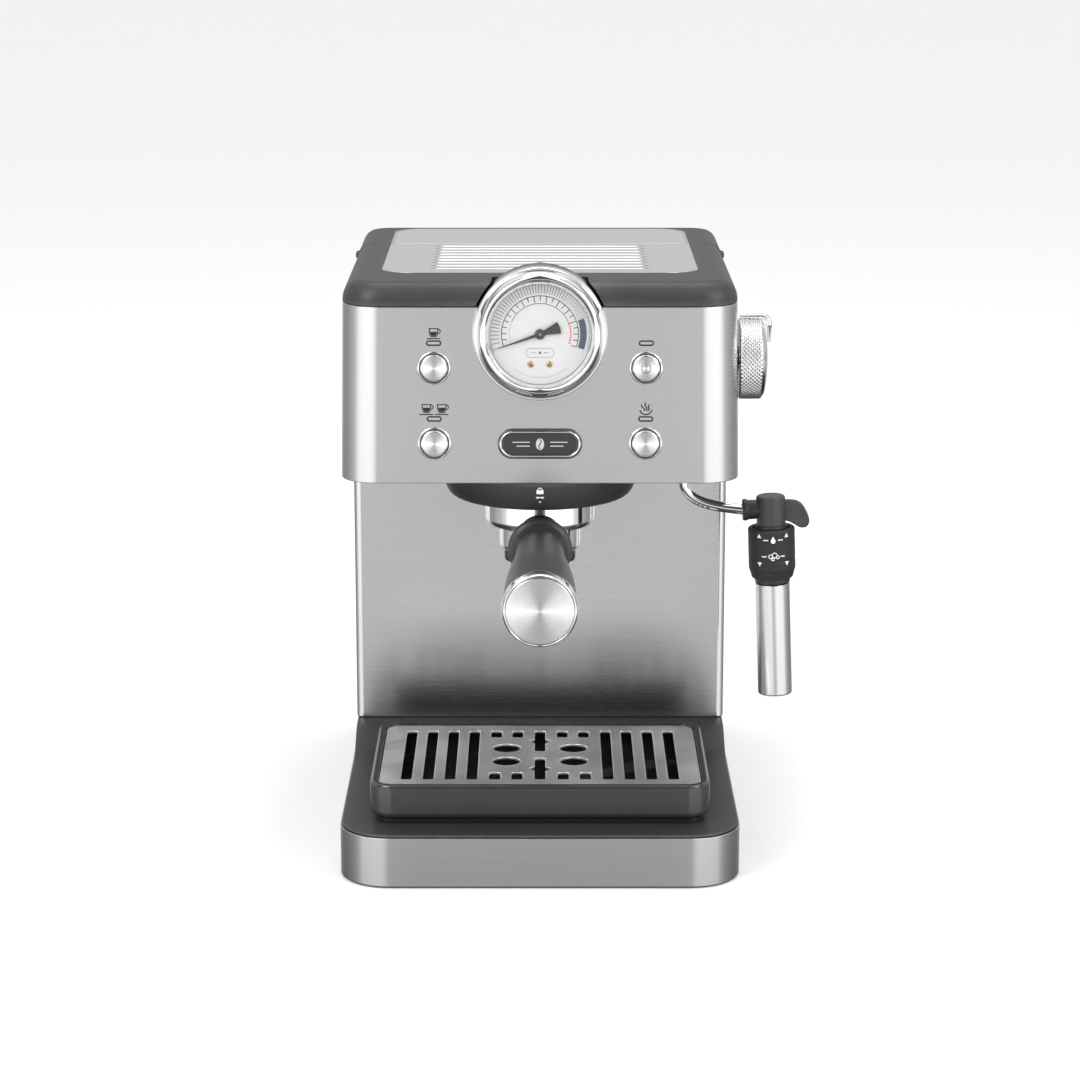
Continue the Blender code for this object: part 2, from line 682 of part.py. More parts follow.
def build_head():
    outline = u_outline(HALF_HEAD, HEAD_FRONT_Y, SHELL_BACK_Y, HEAD_CORNER)
    shell = wall("head_shell", outline, HEAD_BOTTOM, HEAD_TOP, SHEET, BRUSHED)
    taper(shell, HEAD_BOTTOM, HEAD_TOP, HALF_HEAD, HEAD_TAPER)
    cut(shell, gauge_cutter("gauge_hole", CASE_RADIUS + GAP, 10 * MM))
    slots = []
    for name, x, z in button_places():
        place = (x, HEAD_FRONT_Y, z)
        cut(shell, rod(f"{name}_hole", BUTTON_RADIUS + GAP, -5 * MM, 5 * MM, place, TURN_TO_FRONT))
        wide, tall = LAMP_WIDTH / 2 + GAP, LAMP_HEIGHT / 2 + GAP
        lamp = z + LAMP_RISE
        low = (x - wide, HEAD_FRONT_Y - 5 * MM, lamp - tall)
        slots.append((low, (x + wide, HEAD_FRONT_Y + 5 * MM, lamp + tall)))
    cut(shell, boxes("lamp_slots", slots))
    knob_place = (HALF_HEAD, KNOB_Y, KNOB_Z)
    cut(shell, rod("shaft_hole", SHAFT_RADIUS + PLAY, -8 * MM, 8 * MM, knob_place, TURN_TO_X))

    inset = SHEET + GAP
    low = HEAD_BOTTOM + GAP
    half = HALF_HEAD - inset - 0.1 * MM
    floor = rounded(half, HEAD_FRONT_Y + inset, PANEL_Y + 4 * MM, HEAD_CORNER - inset, 3 * MM)
    underside = prism("head_underside", floor, low, low + PLASTIC, BLACK)
    group_hole = rod("group_hole", LOCK_RADIUS + 2 * MM, -10 * MM, 20 * MM, (0, GROUP_Y, low), sides=FINE)
    wand_place = (WAND_X, WAND_Y, low)
    wand_hole = rod("wand_hole", 2 * WAND_RADIUS + 2 * MM, -10 * MM, 20 * MM, wand_place)
    cut(underside, group_hole, wand_hole)

    bush = [
        (3 * WAND_RADIUS, low - GAP),
        (3 * WAND_RADIUS, low - 2 * MM),
        (WAND_RADIUS + PLAY, low - 2 * MM),
        (WAND_RADIUS + PLAY, low + 5 * MM),
        (2 * WAND_RADIUS + 1.7 * MM, low + 5 * MM),
        (2 * WAND_RADIUS + 1.7 * MM, low - GAP),
    ]
    turned("wand_bush", bush, (WAND_X, WAND_Y, 0), BLACK, sides=16, ring=True)


def lid_block(name, front, back, front_radius, back_radius, slope_front, finish):
    """A slab of the top with sloping sides, and a sloping front if it has one."""
    low = HEAD_TOP + GAP
    outline = rounded(HALF_TOP, front, back, front_radius, back_radius)
    block = prism(name, outline, low, TOP_Z, finish)
    lean = LID_INSET if slope_front else 0
    taper(block, low, TOP_Z, HALF_TOP, LID_INSET, front, lean, back)
    return block


def build_top():
    seam = SEAM_Y - 0.25 * MM
    frame = lid_block("top_frame", HEAD_FRONT_Y, seam, HEAD_CORNER, 1 * MM, True, BLACK)
    plate_front = HEAD_FRONT_Y + LID_INSET + PLATE_FRONT_MARGIN
    half = PLATE_HALF_WIDTH
    recess = rounded(half + GAP, plate_front - GAP, seam + 10 * MM, PLATE_CORNER, 1 * MM)
    cut(frame, prism("plate_recess", recess, PLATE_Z - GAP, TOP_Z + 5 * MM))
    window = rounded(half - 8 * MM, plate_front + 8 * MM, seam - 8 * MM, 8 * MM, 4 * MM, 3)
    cut(frame, prism("frame_window", window, HEAD_TOP - 5 * MM, TOP_Z + 5 * MM))
    inner = rounded(HALF_TOP - LID_RIM, HEAD_FRONT_Y + LID_RIM, seam - 8 * MM, 8 * MM, 4 * MM, 3)
    cut(frame, prism("frame_hollow", inner, HEAD_TOP - 5 * MM, PLATE_Z - LID_SKIN))
    cut(frame, gauge_cutter("gauge_notch", GAUGE_RADIUS + 1.2 * MM, GAUGE_DEPTH + 1 * MM))

    edge = rounded(half, plate_front, seam, PLATE_CORNER - GAP, 0.7 * MM)
    plate = prism("cup_warmer_plate", edge, PLATE_Z, TOP_Z, BRUSHED)
    grooves = []
    for i in range(RIB_COUNT):
        y = seam - 6 * MM - i * RIB_PITCH
        low = (-RIB_FIELD / 2, y - RIB_WIDTH, TOP_Z - RIB_DEPTH)
        grooves.append((low, (RIB_FIELD / 2, y, TOP_Z + 1 * MM)))
    cut(plate, boxes("rib_grooves", grooves))


# Water tank with its hinged lid, and the bay that holds it


def lug_outline():
    """Side view of a hinge lug that rises from the tank's back wall and rounds the hinge."""
    return [
        (TANK_BACK_Y - 6 * MM, TANK_TOP - 13 * MM),
        (TANK_BACK_Y - 0.1 * MM, TANK_TOP - 13 * MM),
        (TANK_BACK_Y - 0.1 * MM, HEAD_TOP - 0.8 * MM),
        *arc(HINGE_Y, HINGE_Z, LUG_RADIUS, -90, 90, 6),
        (TANK_BACK_Y - 6 * MM, HINGE_Z + LUG_RADIUS),
    ]


def build_tank():
    body = rounded(TANK_HALF_WIDTH, TANK_FRONT_Y, TANK_BACK_Y, TANK_CORNER, TANK_CORNER)
    tank = prism("water_tank", body, TANK_FLOOR, TANK_TOP, TANK)
    wall_in = TANK_WALL
    room = rounded(
        TANK_HALF_WIDTH - wall_in,
        TANK_FRONT_Y + wall_in,
        TANK_BACK_Y - wall_in,
        TANK_CORNER - wall_in,
        TANK_CORNER - wall_in,
    )
    cut(tank, prism("tank_room", room, TANK_FLOOR + PLASTIC, TANK_TOP + 20 * MM))
    pin_reach = LUG_FROM_MIDDLE + LUG_WIDTH
    axis_place = (0, HINGE_Y, HINGE_Z)
    pin_bore = HINGE_PIN_RADIUS + GAP
    pin_hole = rod("lug_pin_hole", pin_bore, -pin_reach, pin_reach, axis_place, TURN_TO_X, sides=12)
    notches = []
    for side in (-1, 1):
        low, high = sorted((side * LUG_FROM_MIDDLE, side * (LUG_FROM_MIDDLE + LUG_WIDTH)))
        lug = prism(f"tank_lug_{side + 1}", lug_outline(), low, high, turn=ALONG_X)
        join(tank, lug)
        low, high = low - PLAY, high + PLAY
        notch_low = (low, TANK_BACK_Y - 6.5 * MM, HEAD_TOP - 5 * MM)
        notches.append((notch_low, (high, BACK_Y + 5 * MM, HINGE_Z + LUG_RADIUS + PLAY)))
    cut(tank, pin_hole)
    valve_place = (0, TANK_MIDDLE_Y, TANK_FLOOR - GAP)
    valve = rod("tank_valve", TANK_VALVE_RADIUS, -SHELF_DROP + 2 * MM, 0, valve_place, finish=RUBBER)
    pin = rod("lid_hinge_pin", HINGE_PIN_RADIUS, -pin_reach, pin_reach, axis_place, TURN_TO_X, CHROME, 12)

    front = SEAM_Y + 0.25 * MM
    lid = lid_block("tank_lid", front, BACK_Y, 1 * MM, LID_BACK_CORNER, False, BLACK)
    plate_back = BACK_Y - PLATE_BACK_MARGIN
    half = PLATE_HALF_WIDTH
    recess = rounded(half + GAP, front - 10 * MM, plate_back + GAP, 1 * MM, PLATE_CORNER)
    cut(lid, prism("lid_plate_recess", recess, PLATE_Z - GAP, TOP_Z + 5 * MM))
    inner = rounded(HALF_TOP - LID_RIM, front + 4 * MM, TANK_BACK_Y - 8 * MM, 4 * MM, 4 * MM, 3)
    cut(lid, prism("lid_hollow", inner, HEAD_TOP - 5 * MM, PLATE_Z - LID_SKIN))
    slot_reach = pin_reach + 2 * MM
    pin_slot = rod("lid_pin_hole", pin_bore, -slot_reach, slot_reach, axis_place, TURN_TO_X, sides=12)
    cut(lid, boxes("lug_notches", notches), pin_slot)
    ear_y = SEAM_Y + EAR_FROM_SEAM
    ear_low = HEAD_TOP + 1.5 * MM
    for side in (-1, 1):
        low, high = sorted((side * (HALF_TOP - 5 * MM), side * (HALF_TOP + 0.5 * MM)))
        far_corner = (high, ear_y + EAR_LENGTH, ear_low + EAR_HEIGHT)
        join(lid, box(f"lid_ear_{side + 1}", (low, ear_y, ear_low), far_corner))
    edge = rounded(half, front, plate_back, 0.7 * MM, PLATE_CORNER - GAP)
    plate = prism("tank_lid_plate", edge, PLATE_Z, TOP_Z, BRUSHED)

    lift = pivot("tank_lift", (0, TANK_MIDDLE_Y, TANK_FLOOR))
    hinge = pivot("lid_hinge", axis_place)
    attach(lift, tank, valve, pin, hinge)
    attach(hinge, lid, plate)

    partition_low = PLINTH_TOP + 24 * MM
    bay_half = WIDTH / 2 - 4 * MM
    partition = box(
        "tank_bay",
        (-bay_half, PARTITION_Y, partition_low),
        (bay_half, PARTITION_Y + PARTITION_THICKNESS, TANK_TOP),
        BLACK,
    )
    shelf = box(
        "bay_shelf",
        (-bay_half, PARTITION_Y + 1 * MM, SHELF_TOP - 3 * MM),
        (bay_half, SHELL_BACK_Y - 1 * MM, SHELF_TOP),
    )
    join(partition, shelf)
    drain = rod("shelf_hole", 4 * MM, -20 * MM, 20 * MM, (0, TANK_MIDDLE_Y, SHELF_TOP))
    cut(partition, drain)


# Pressure gauge: case, dial, needle, glass and chrome bezel. Heights are in front of the head.


def build_gauge():
    place = (0, HEAD_FRONT_Y, GAUGE_Z)
    reach = GAUGE_REACH
    bowl = GAUGE_WINDOW + 1.2 * MM
    face = reach - 6 * MM
    shaft = 1.8 * MM
    case = [
        (bowl, face),
        (CASE_RADIUS, face),
        (CASE_RADIUS, -GAUGE_DEPTH + 4 * MM),
        (CASE_RADIUS - 5 * MM, -GAUGE_DEPTH),
        (shaft, -GAUGE_DEPTH),
        (shaft, face - 3 * MM),
        (bowl, face - 3 * MM),
    ]
    turned("gauge_case", case, place, BLACK, TURN_TO_FRONT, ring=True)
    dial_top = face - 1.8 * MM
    dial = [
        (bowl - GAP, dial_top),
        (bowl - GAP, dial_top - 0.9 * MM),
        (shaft, dial_top - 0.9 * MM),
        (shaft, dial_top),
    ]
    turned("gauge_dial", dial, place, DIAL, TURN_TO_FRONT, ring=True)

    seat_radius = bowl + 0.4 * MM
    skirt = CASE_RADIUS + GAP
    bezel = [
        (0.88 * GAUGE_RADIUS, reach),
        (0.945 * GAUGE_RADIUS, reach - 1.2 * MM),
        (0.985 * GAUGE_RADIUS, reach - 3 * MM),
        (GAUGE_RADIUS, reach - 6 * MM),
        (GAUGE_RADIUS, GAP),
        (skirt, GAP),
        (skirt, face + GAP),
        (seat_radius, face + GAP),
        (seat_radius, reach - 3.2 * MM),
        (GAUGE_WINDOW, reach - 3.2 * MM),
        (GAUGE_WINDOW, reach - 2.6 * MM),
        (0.80 * GAUGE_RADIUS, reach - 1 * MM),
    ]
    turned("gauge_bezel", bezel, place, CHROME, TURN_TO_FRONT, ring=True)
    glass_top = reach - 3.5 * MM
    rim = seat_radius - GAP
    glass = [
        (0, glass_top),
        (rim, glass_top),
        (rim, glass_top - 1 * MM),
        (0, glass_top - 1 * MM),
    ]
    turned("gauge_glass", glass, place, CLEAR, TURN_TO_FRONT)

    blade_low = dial_top + 0.9 * MM
    length, tail = NEEDLE_LENGTH, NEEDLE_TAIL
    blade = [
        (length, 0),
        (3 * MM, 1.1 * MM),
        *arc(0, 0, 3 * MM, 40, 150, 4),
        *arc(0, 0, tail, 160, 200, 4),
        *arc(0, 0, 3 * MM, 210, 320, 4),
        (3 * MM, -1.1 * MM),
    ]
    needle = prism("gauge_needle", blade, blade_low, blade_low + 0.7 * MM, BLACK)
    hub = rod("needle_hub", 1.4 * MM, -GAUGE_DEPTH / 2, blade_low + 0.5 * MM, (0, 0, 0))
    join(needle, hub)
    turn = TURN_TO_FRONT @ Matrix.Rotation(NEEDLE_REST, 4, "Z")
    axis = pivot("needle_pivot", place, turn)
    seat(axis, needle, hub)


# Buttons, lamps, badge and the board behind them


def build_controls():
    back = BUTTON_LENGTH - BUTTON_PROUD
    for name, x, z in button_places():
        place = (x, HEAD_FRONT_Y, z)
        r = BUTTON_RADIUS
        profile = [
            (0, BUTTON_PROUD),
            (r - 0.6 * MM, BUTTON_PROUD),
            (r, BUTTON_PROUD - 0.6 * MM),
            (r, -3 * MM),
            (r - 3 * MM, -3 * MM),
            (r - 3 * MM, -back),
            (0, -back),
        ]
        turned(f"{name}_button", profile, place, CHROME, TURN_TO_FRONT, 16)
        half, tall = LAMP_WIDTH / 2, LAMP_HEIGHT / 2
        lamp = z + LAMP_RISE
        low = (x - half, HEAD_FRONT_Y - 0.3 * MM, lamp - tall)
        box(f"{name}_lamp", low, (x + half, HEAD_FRONT_Y + 6 * MM, lamp + tall), CLEAR)

    badge_z = HEAD_BOTTOM + BUTTON_LOW
    front = HEAD_FRONT_Y - GAP
    rim = stadium(0, badge_z, BADGE_WIDTH, BADGE_HEIGHT)
    badge = prism("badge", rim, front - BADGE_DEPTH, front, CHROME, ALONG_Y)
    inner = stadium(0, badge_z, BADGE_WIDTH - 2 * BADGE_RIM, BADGE_HEIGHT - 2 * BADGE_RIM)
    cut(badge, prism("badge_recess", inner, front - 10 * MM, front - 0.6 * BADGE_DEPTH, turn=ALONG_Y))

    board_y = HEAD_FRONT_Y + back + 2.5 * MM
    low, high = HEAD_BOTTOM + 8 * MM, HEAD_BOTTOM + BUTTON_HIGH + 13 * MM
    dip = GAUGE_Z - GAUGE_RADIUS - 4 * MM
    side, inside = BUTTON_SPREAD + 16 * MM, GAUGE_RADIUS + 3 * MM
    shape = [
        (-side, low),
        (side, low),
        (side, high),
        (inside, high),
        (inside, dip),
        (-inside, dip),
        (-inside, high),
        (-side, high),
    ]
    prism("control_board", shape, board_y, board_y + 1.6 * MM, BOARD, ALONG_Y)


# Brew group: plastic collar, lock ring, brew head, gasket and shower screen


def build_group():
    place = (0, GROUP_Y, 0)
    top, bottom = HEAD_BOTTOM, COLLAR_BOTTOM
    inner = LOCK_RADIUS + GAP
    r = COLLAR_RADIUS
    collar = [
        (r, top),
        (r - 0.6 * MM, bottom + 6 * MM),
        (r - 1.4 * MM, bottom + 1.5 * MM),
        (r - 2.6 * MM, bottom),
        (inner, bottom),
        (inner, top),
    ]
    turned("group_collar", collar, place, BLACK, ring=True)

    groove = FLANGE_RADIUS + LUG_REACH + 1.6 * MM
    ledge = FLANGE_RADIUS + 0.8 * MM
    ledge_top = FLANGE_TOP - 5 * MM
    roof = FLANGE_TOP + 1.5 * MM
    gasket_out = FLANGE_RADIUS - 1.6 * MM
    ring_in = gasket_out + GAP
    lock = [
        (LOCK_RADIUS, top - GAP),
        (LOCK_RADIUS, bottom + GAP),
        (ledge, bottom + GAP),
        (ledge, ledge_top),
        (groove, ledge_top),
        (groove, roof),
        (ring_in, roof),
        (ring_in, top - GAP),
    ]
    ring = turned("lock_ring", lock, place, CAST, ring=True)
    entry_half = LUG_HALF_WIDTH + 1.5 * MM
    for side in (-1, 1):
        low, high = sorted((side * (ledge - 3 * MM), side * (groove - 0.4 * MM)))
        far_corner = (high, entry_half, ledge_top + 1 * MM)
        entry = box(f"lug_entry_{side + 1}", (low, -entry_half, bottom - 5 * MM), far_corner)
        entry.matrix_world = Matrix.Translation(place) @ Matrix.Rotation(math.radians(-45), 4, "Z")
        cut(ring, entry)

    boss = gasket_out - 4.6 * MM
    boss_bottom = FLANGE_TOP + 3 * MM
    head_low, head_high = top + GAP, top + GAP + BREW_HEAD_HEIGHT
    head = [
        (0, head_high),
        (LOCK_RADIUS - 2 * MM, head_high),
        (LOCK_RADIUS - 2 * MM, head_low),
        (boss, head_low),
        (boss, boss_bottom),
        (0, boss_bottom),
    ]
    turned("brew_head", head, place, CAST)
    gasket = [
        (gasket_out, top - GAP),
        (gasket_out, FLANGE_TOP + 1.4 * MM),
        (boss + GAP, FLANGE_TOP + 1.4 * MM),
        (boss + GAP, top - GAP),
    ]
    turned("group_gasket", gasket, place, RUBBER, ring=True)
    screen_top = boss_bottom - GAP
    screen = [
        (0, screen_top),
        (boss - 0.2 * MM, screen_top),
        (boss - 0.2 * MM, screen_top - 0.8 * MM),
        (0, screen_top - 0.8 * MM),
    ]
    turned("shower_screen", screen, place, CHROME, sides=MEDIUM)


# Portafilter: chromed body with two lugs, filter basket, spout, grip and end cap


def build_portafilter():
    place = (0, GROUP_Y, 0)
    bore = CUP_RADIUS - BOWL_WALL
    neck = 4 * MM
    body_profile = [
        (FLANGE_RADIUS, FLANGE_TOP),
        (FLANGE_RADIUS, FLANGE_TOP - 4.7 * MM),
        (CUP_RADIUS, FLANGE_TOP - 4.7 * MM),
        (CUP_RADIUS, BOWL_BOTTOM + 1.5 * MM),
        (CUP_RADIUS - 1.5 * MM, BOWL_BOTTOM),
        (OUTLET_RADIUS, BOWL_BOTTOM),
        (OUTLET_RADIUS, OUTLET_BOTTOM + 1 * MM),
        (OUTLET_RADIUS - 1 * MM, OUTLET_BOTTOM),
        (neck, OUTLET_BOTTOM),
        (neck, BOWL_BOTTOM + 4 * MM),
        (bore, BOWL_BOTTOM + 5.5 * MM),
        (bore, FLANGE_TOP),
    ]
    body = turned("portafilter_body", body_profile, place, CHROME, ring=True)
    lug_low, lug_high = FLANGE_TOP - 4.4 * MM, FLANGE_TOP - 0.8 * MM
    for side in (-1, 1):
        low, high = sorted((side * (FLANGE_RADIUS - 2 * MM), side * (FLANGE_RADIUS + LUG_REACH)))
        lug = box(
            f"bayonet_lug_{side + 1}",
            (low, GROUP_Y - LUG_HALF_WIDTH, lug_low),
            (high, GROUP_Y + LUG_HALF_WIDTH, lug_high),
        )
        join(body, lug)
    stub_place = (0, HANDLE_FRONT_Y, HANDLE_Z)
    stub_reach = CUP_RADIUS + 2 * MM - OUTLET_RADIUS + 2 * MM
    stub = rod("handle_stub", STUB_RADIUS, -stub_reach, -GAP, stub_place, TURN_TO_FRONT)
    join(body, stub)

    rim = BASKET_RADIUS + 3.2 * MM
    low = BOWL_BOTTOM + 6.5 * MM
    inside = BASKET_RADIUS - BASKET_WALL
    lip = FLANGE_TOP + GAP
    basket = [
        (inside, lip + BASKET_WALL),
        (rim, lip + BASKET_WALL),
        (rim, lip),
        (BASKET_RADIUS, lip),
        (BASKET_RADIUS, low),
        (0, low),
    ]
    basket = [(0, low + BASKET_WALL), (inside, low + BASKET_WALL), *basket]
    filter_basket = turned("filter_basket", basket, place, BRUSHED)

    spout_top = OUTLET_BOTTOM - GAP
    arm_half = SPOUT_RADIUS + 0.6 * MM
    reach = SPOUT_HALF_WIDTH - SPOUT_RADIUS
    arm = stadium(0, GROUP_Y, 2 * SPOUT_HALF_WIDTH, 2 * arm_half)
    spout = prism("portafilter_spout", arm, spout_top - 0.55 * SPOUT_HEIGHT, spout_top, BLACK)
    for side in (-1, 1):
        tip_place = (side * reach, GROUP_Y, spout_top)
        tip = rod(f"spout_tip_{side + 1}", SPOUT_RADIUS, -SPOUT_HEIGHT, -1 * MM, tip_place, sides=20)
        join(spout, tip)
        bore_low = -SPOUT_HEIGHT - 2 * MM
        cut(spout, rod(f"spout_bore_{side + 1}", SPOUT_BORE, bore_low, -3 * MM, tip_place, sides=12))

    grip = [
        (0, 0),
        (HANDLE_FLANGE, 0),
        (HANDLE_FLANGE, 1.6 * MM),
        (HANDLE_FLANGE - 1.2 * MM, 3 * MM),
    ]
    neck_at, swell_at = 10 * MM, 0.72 * HANDLE_LENGTH
    for i in range(7):
        share = i / 6
        ease = share * share * (3 - 2 * share)
        radius = HANDLE_NECK + (HANDLE_END - HANDLE_NECK) * ease
        grip.append((radius, neck_at + (swell_at - neck_at) * share))
    grip += [(HANDLE_END, HANDLE_LENGTH), (0, HANDLE_LENGTH)]
    grip.reverse()
    handle_place = (0, HANDLE_FRONT_Y, HANDLE_Z)
    handle = turned("handle_grip", grip, handle_place, BLACK, TURN_TO_FRONT, MEDIUM)
    cap_low = HANDLE_LENGTH + GAP
    cap_high = cap_low + CAP_LENGTH
    cap = [
        (0, cap_high - 0.4 * MM),
        (CAP_RADIUS - 3.6 * MM, cap_high - 0.4 * MM),
        (CAP_RADIUS - 3.2 * MM, cap_high),
        (CAP_RADIUS - 2.4 * MM, cap_high - 0.3 * MM),
        (CAP_RADIUS, cap_high - 3.6 * MM),
        (CAP_RADIUS, cap_low + 0.6 * MM),
        (CAP_RADIUS - 0.6 * MM, cap_low),
        (0, cap_low),
    ]
    end_cap = turned("handle_cap", cap, handle_place, CHROME, TURN_TO_FRONT, FINE)
    lock_turn = pivot("portafilter_pivot", place)
    attach(lock_turn, body, filter_basket, spout, handle, end_cap)


# Steam: knob, valve, wand and frother


def build_knob():
    side_x = HALF_HEAD + GAP
    place = (side_x, KNOB_Y, KNOB_Z)
    r = KNOB_RADIUS
    width = KNOB_WIDTH
    profile = [
        (0, width + KNOB_DOME),
        (0.35 * r, width + 0.93 * KNOB_DOME),
        (0.62 * r, width + 0.7 * KNOB_DOME),
        (0.84 * r, width + 0.35 * KNOB_DOME),
        (r - 1 * MM, width),
        (r, width - 1 * MM),
        (r, 0.8 * MM),
        (r - 0.8 * MM, 0),
        (SHAFT_RADIUS, 0),
        (SHAFT_RADIUS, -SHAFT_LENGTH),
        (0, -SHAFT_LENGTH),
    ]
    knob = turned("steam_knob", profile, place, CHROME, TURN_TO_X)
    rib = box(
        "knob_rib",
        (side_x + 0.6 * MM, KNOB_Y - KNOB_RIB_WIDTH / 2, KNOB_Z + 0.35 * r),
        (side_x + width + KNOB_DOME + 2.5 * MM, KNOB_Y + KNOB_RIB_WIDTH / 2, KNOB_Z + r + RIB_PROUD),
    )
    join(knob, rib)
    knob_pivot = pivot("knob_pivot", place)
    attach(knob_pivot, knob)

    valve_end = -SHAFT_LENGTH - GAP
    valve = [
        (0, valve_end),
        (6 * MM, valve_end),
        (6 * MM, valve_end - 8 * MM),
        (10 * MM, valve_end - 8 * MM),
        (10 * MM, valve_end - VALVE_LENGTH),
        (0, valve_end - VALVE_LENGTH),
    ]
    turned("steam_valve", valve, place, BRASS, TURN_TO_X, 16)


def build_wand():
    root = Vector((WAND_X, WAND_Y, 0))
    top = Vector((WAND_X, WAND_Y, HEAD_BOTTOM + 10 * MM))
    knee = Vector((WAND_X, WAND_Y, HEAD_BOTTOM - 5 * MM))
    end = Vector((WAND_X + WAND_REACH, WAND_Y, WAND_END_Z))
    first = knee - Vector((0, 0, 0.75 * (knee.z - end.z)))
    second = end + Vector((-0.58 * WAND_REACH, 0, 0.11 * (knee.z - end.z)))
    bend = []
    for i in range(9):
        t = i / 8
        s = 1 - t
        bend.append(s**3 * knee + 3 * s * s * t * first + 3 * s * t * t * second + t**3 * end)
    pipe = tube("wand_tube", [top, *bend], WAND_RADIUS, CHROME, 1)

    tilt = Matrix.Rotation(-FROTHER_TILT, 4, "Y")
    frother = pivot("frother_axis", (FROTHER_X, WAND_Y, WAND_END_Z), tilt)
    sleeve_top = -9.1 * MM
    core_top = sleeve_top - 3 * MM
    core_bottom = sleeve_top - SLEEVE_LENGTH - 0.6 * SLEEVE_TRAVEL
    swivel_top = 7.7 * MM
    body_profile = [
        (0, swivel_top),
        (SWIVEL_RADIUS - 0.8 * MM, swivel_top),
        (SWIVEL_RADIUS, swivel_top - 0.8 * MM),
        (SWIVEL_RADIUS, core_top),
        (CORE_RADIUS, core_top),
        (CORE_RADIUS, core_bottom),
        (0, core_bottom),
    ]
    body = turned("frother_body", body_profile, (0, 0, 0), BLACK, sides=MEDIUM)
    socket_end = -(FROTHER_REACH - WAND_REACH) + 2 * GAP
    socket = rod("wand_socket", 5.1 * MM, socket_end, 0, (0, 0, 0.4 * MM), TURN_TO_X, sides=20)
    paddle_outline = [
        (SWIVEL_RADIUS - 3 * MM, 5 * MM),
        (15 * MM, 4.2 * MM),
        *arc(17.2 * MM, -6.6 * MM, 3.4 * MM, 25, -130, 6),
        (SWIVEL_RADIUS, -5.6 * MM),
        (SWIVEL_RADIUS - 3 * MM, -5.6 * MM),
    ]
    paddle = prism("finger_paddle", paddle_outline, -2 * MM, 2 * MM, turn=ALONG_Y)
    join(body, socket, paddle)

    tube_top = core_bottom - GAP
    tube_bottom = tube_top - FROTHER_TUBE_LENGTH
    shell = [
        (FROTHER_TUBE_RADIUS, tube_top),
        (FROTHER_TUBE_RADIUS, tube_bottom),
        (FROTHER_TUBE_RADIUS - 1 * MM, tube_bottom),
        (FROTHER_TUBE_RADIUS - 1 * MM, tube_top),
    ]
    steel = turned("frother_tube", shell, (0, 0, 0), BRUSHED, sides=MEDIUM, ring=True)
    nozzle_profile = [
        (0, tube_top),
        (NOZZLE_RADIUS + 1.5 * MM, tube_top),
        (NOZZLE_RADIUS + 1.5 * MM, tube_bottom + 4 * MM),
        (NOZZLE_RADIUS, tube_bottom + 4 * MM),
        (NOZZLE_RADIUS, tube_bottom - 1.6 * MM),
        (0, tube_bottom - 1.6 * MM),
    ]
    nozzle = turned("steam_nozzle", nozzle_profile, (0, 0, 0), BLACK, sides=SMALL)

    bore = CORE_RADIUS + 0.4 * MM
    r, low = SLEEVE_RADIUS, sleeve_top - SLEEVE_LENGTH
    sleeve_profile = [
        (r - 0.8 * MM, sleeve_top),
        (r, sleeve_top - 0.8 * MM),
        (r, low + 5 * MM),
        (bore + 1.1 * MM, low),
        (bore, low),
        (bore, sleeve_top),
    ]
    sleeve = turned("selector_sleeve", sleeve_profile, (0, 0, 0), BLACK, sides=MEDIUM, ring=True)
    slide = pivot("sleeve_slide", (FROTHER_X, WAND_Y, WAND_END_Z), tilt)
    seat(frother, body, socket, paddle, steel, nozzle)
    seat(slide, sleeve)
    swivel = pivot("wand_pivot", root)
    attach(swivel, pipe, frother, slide)


# Drip tray and its steel grid


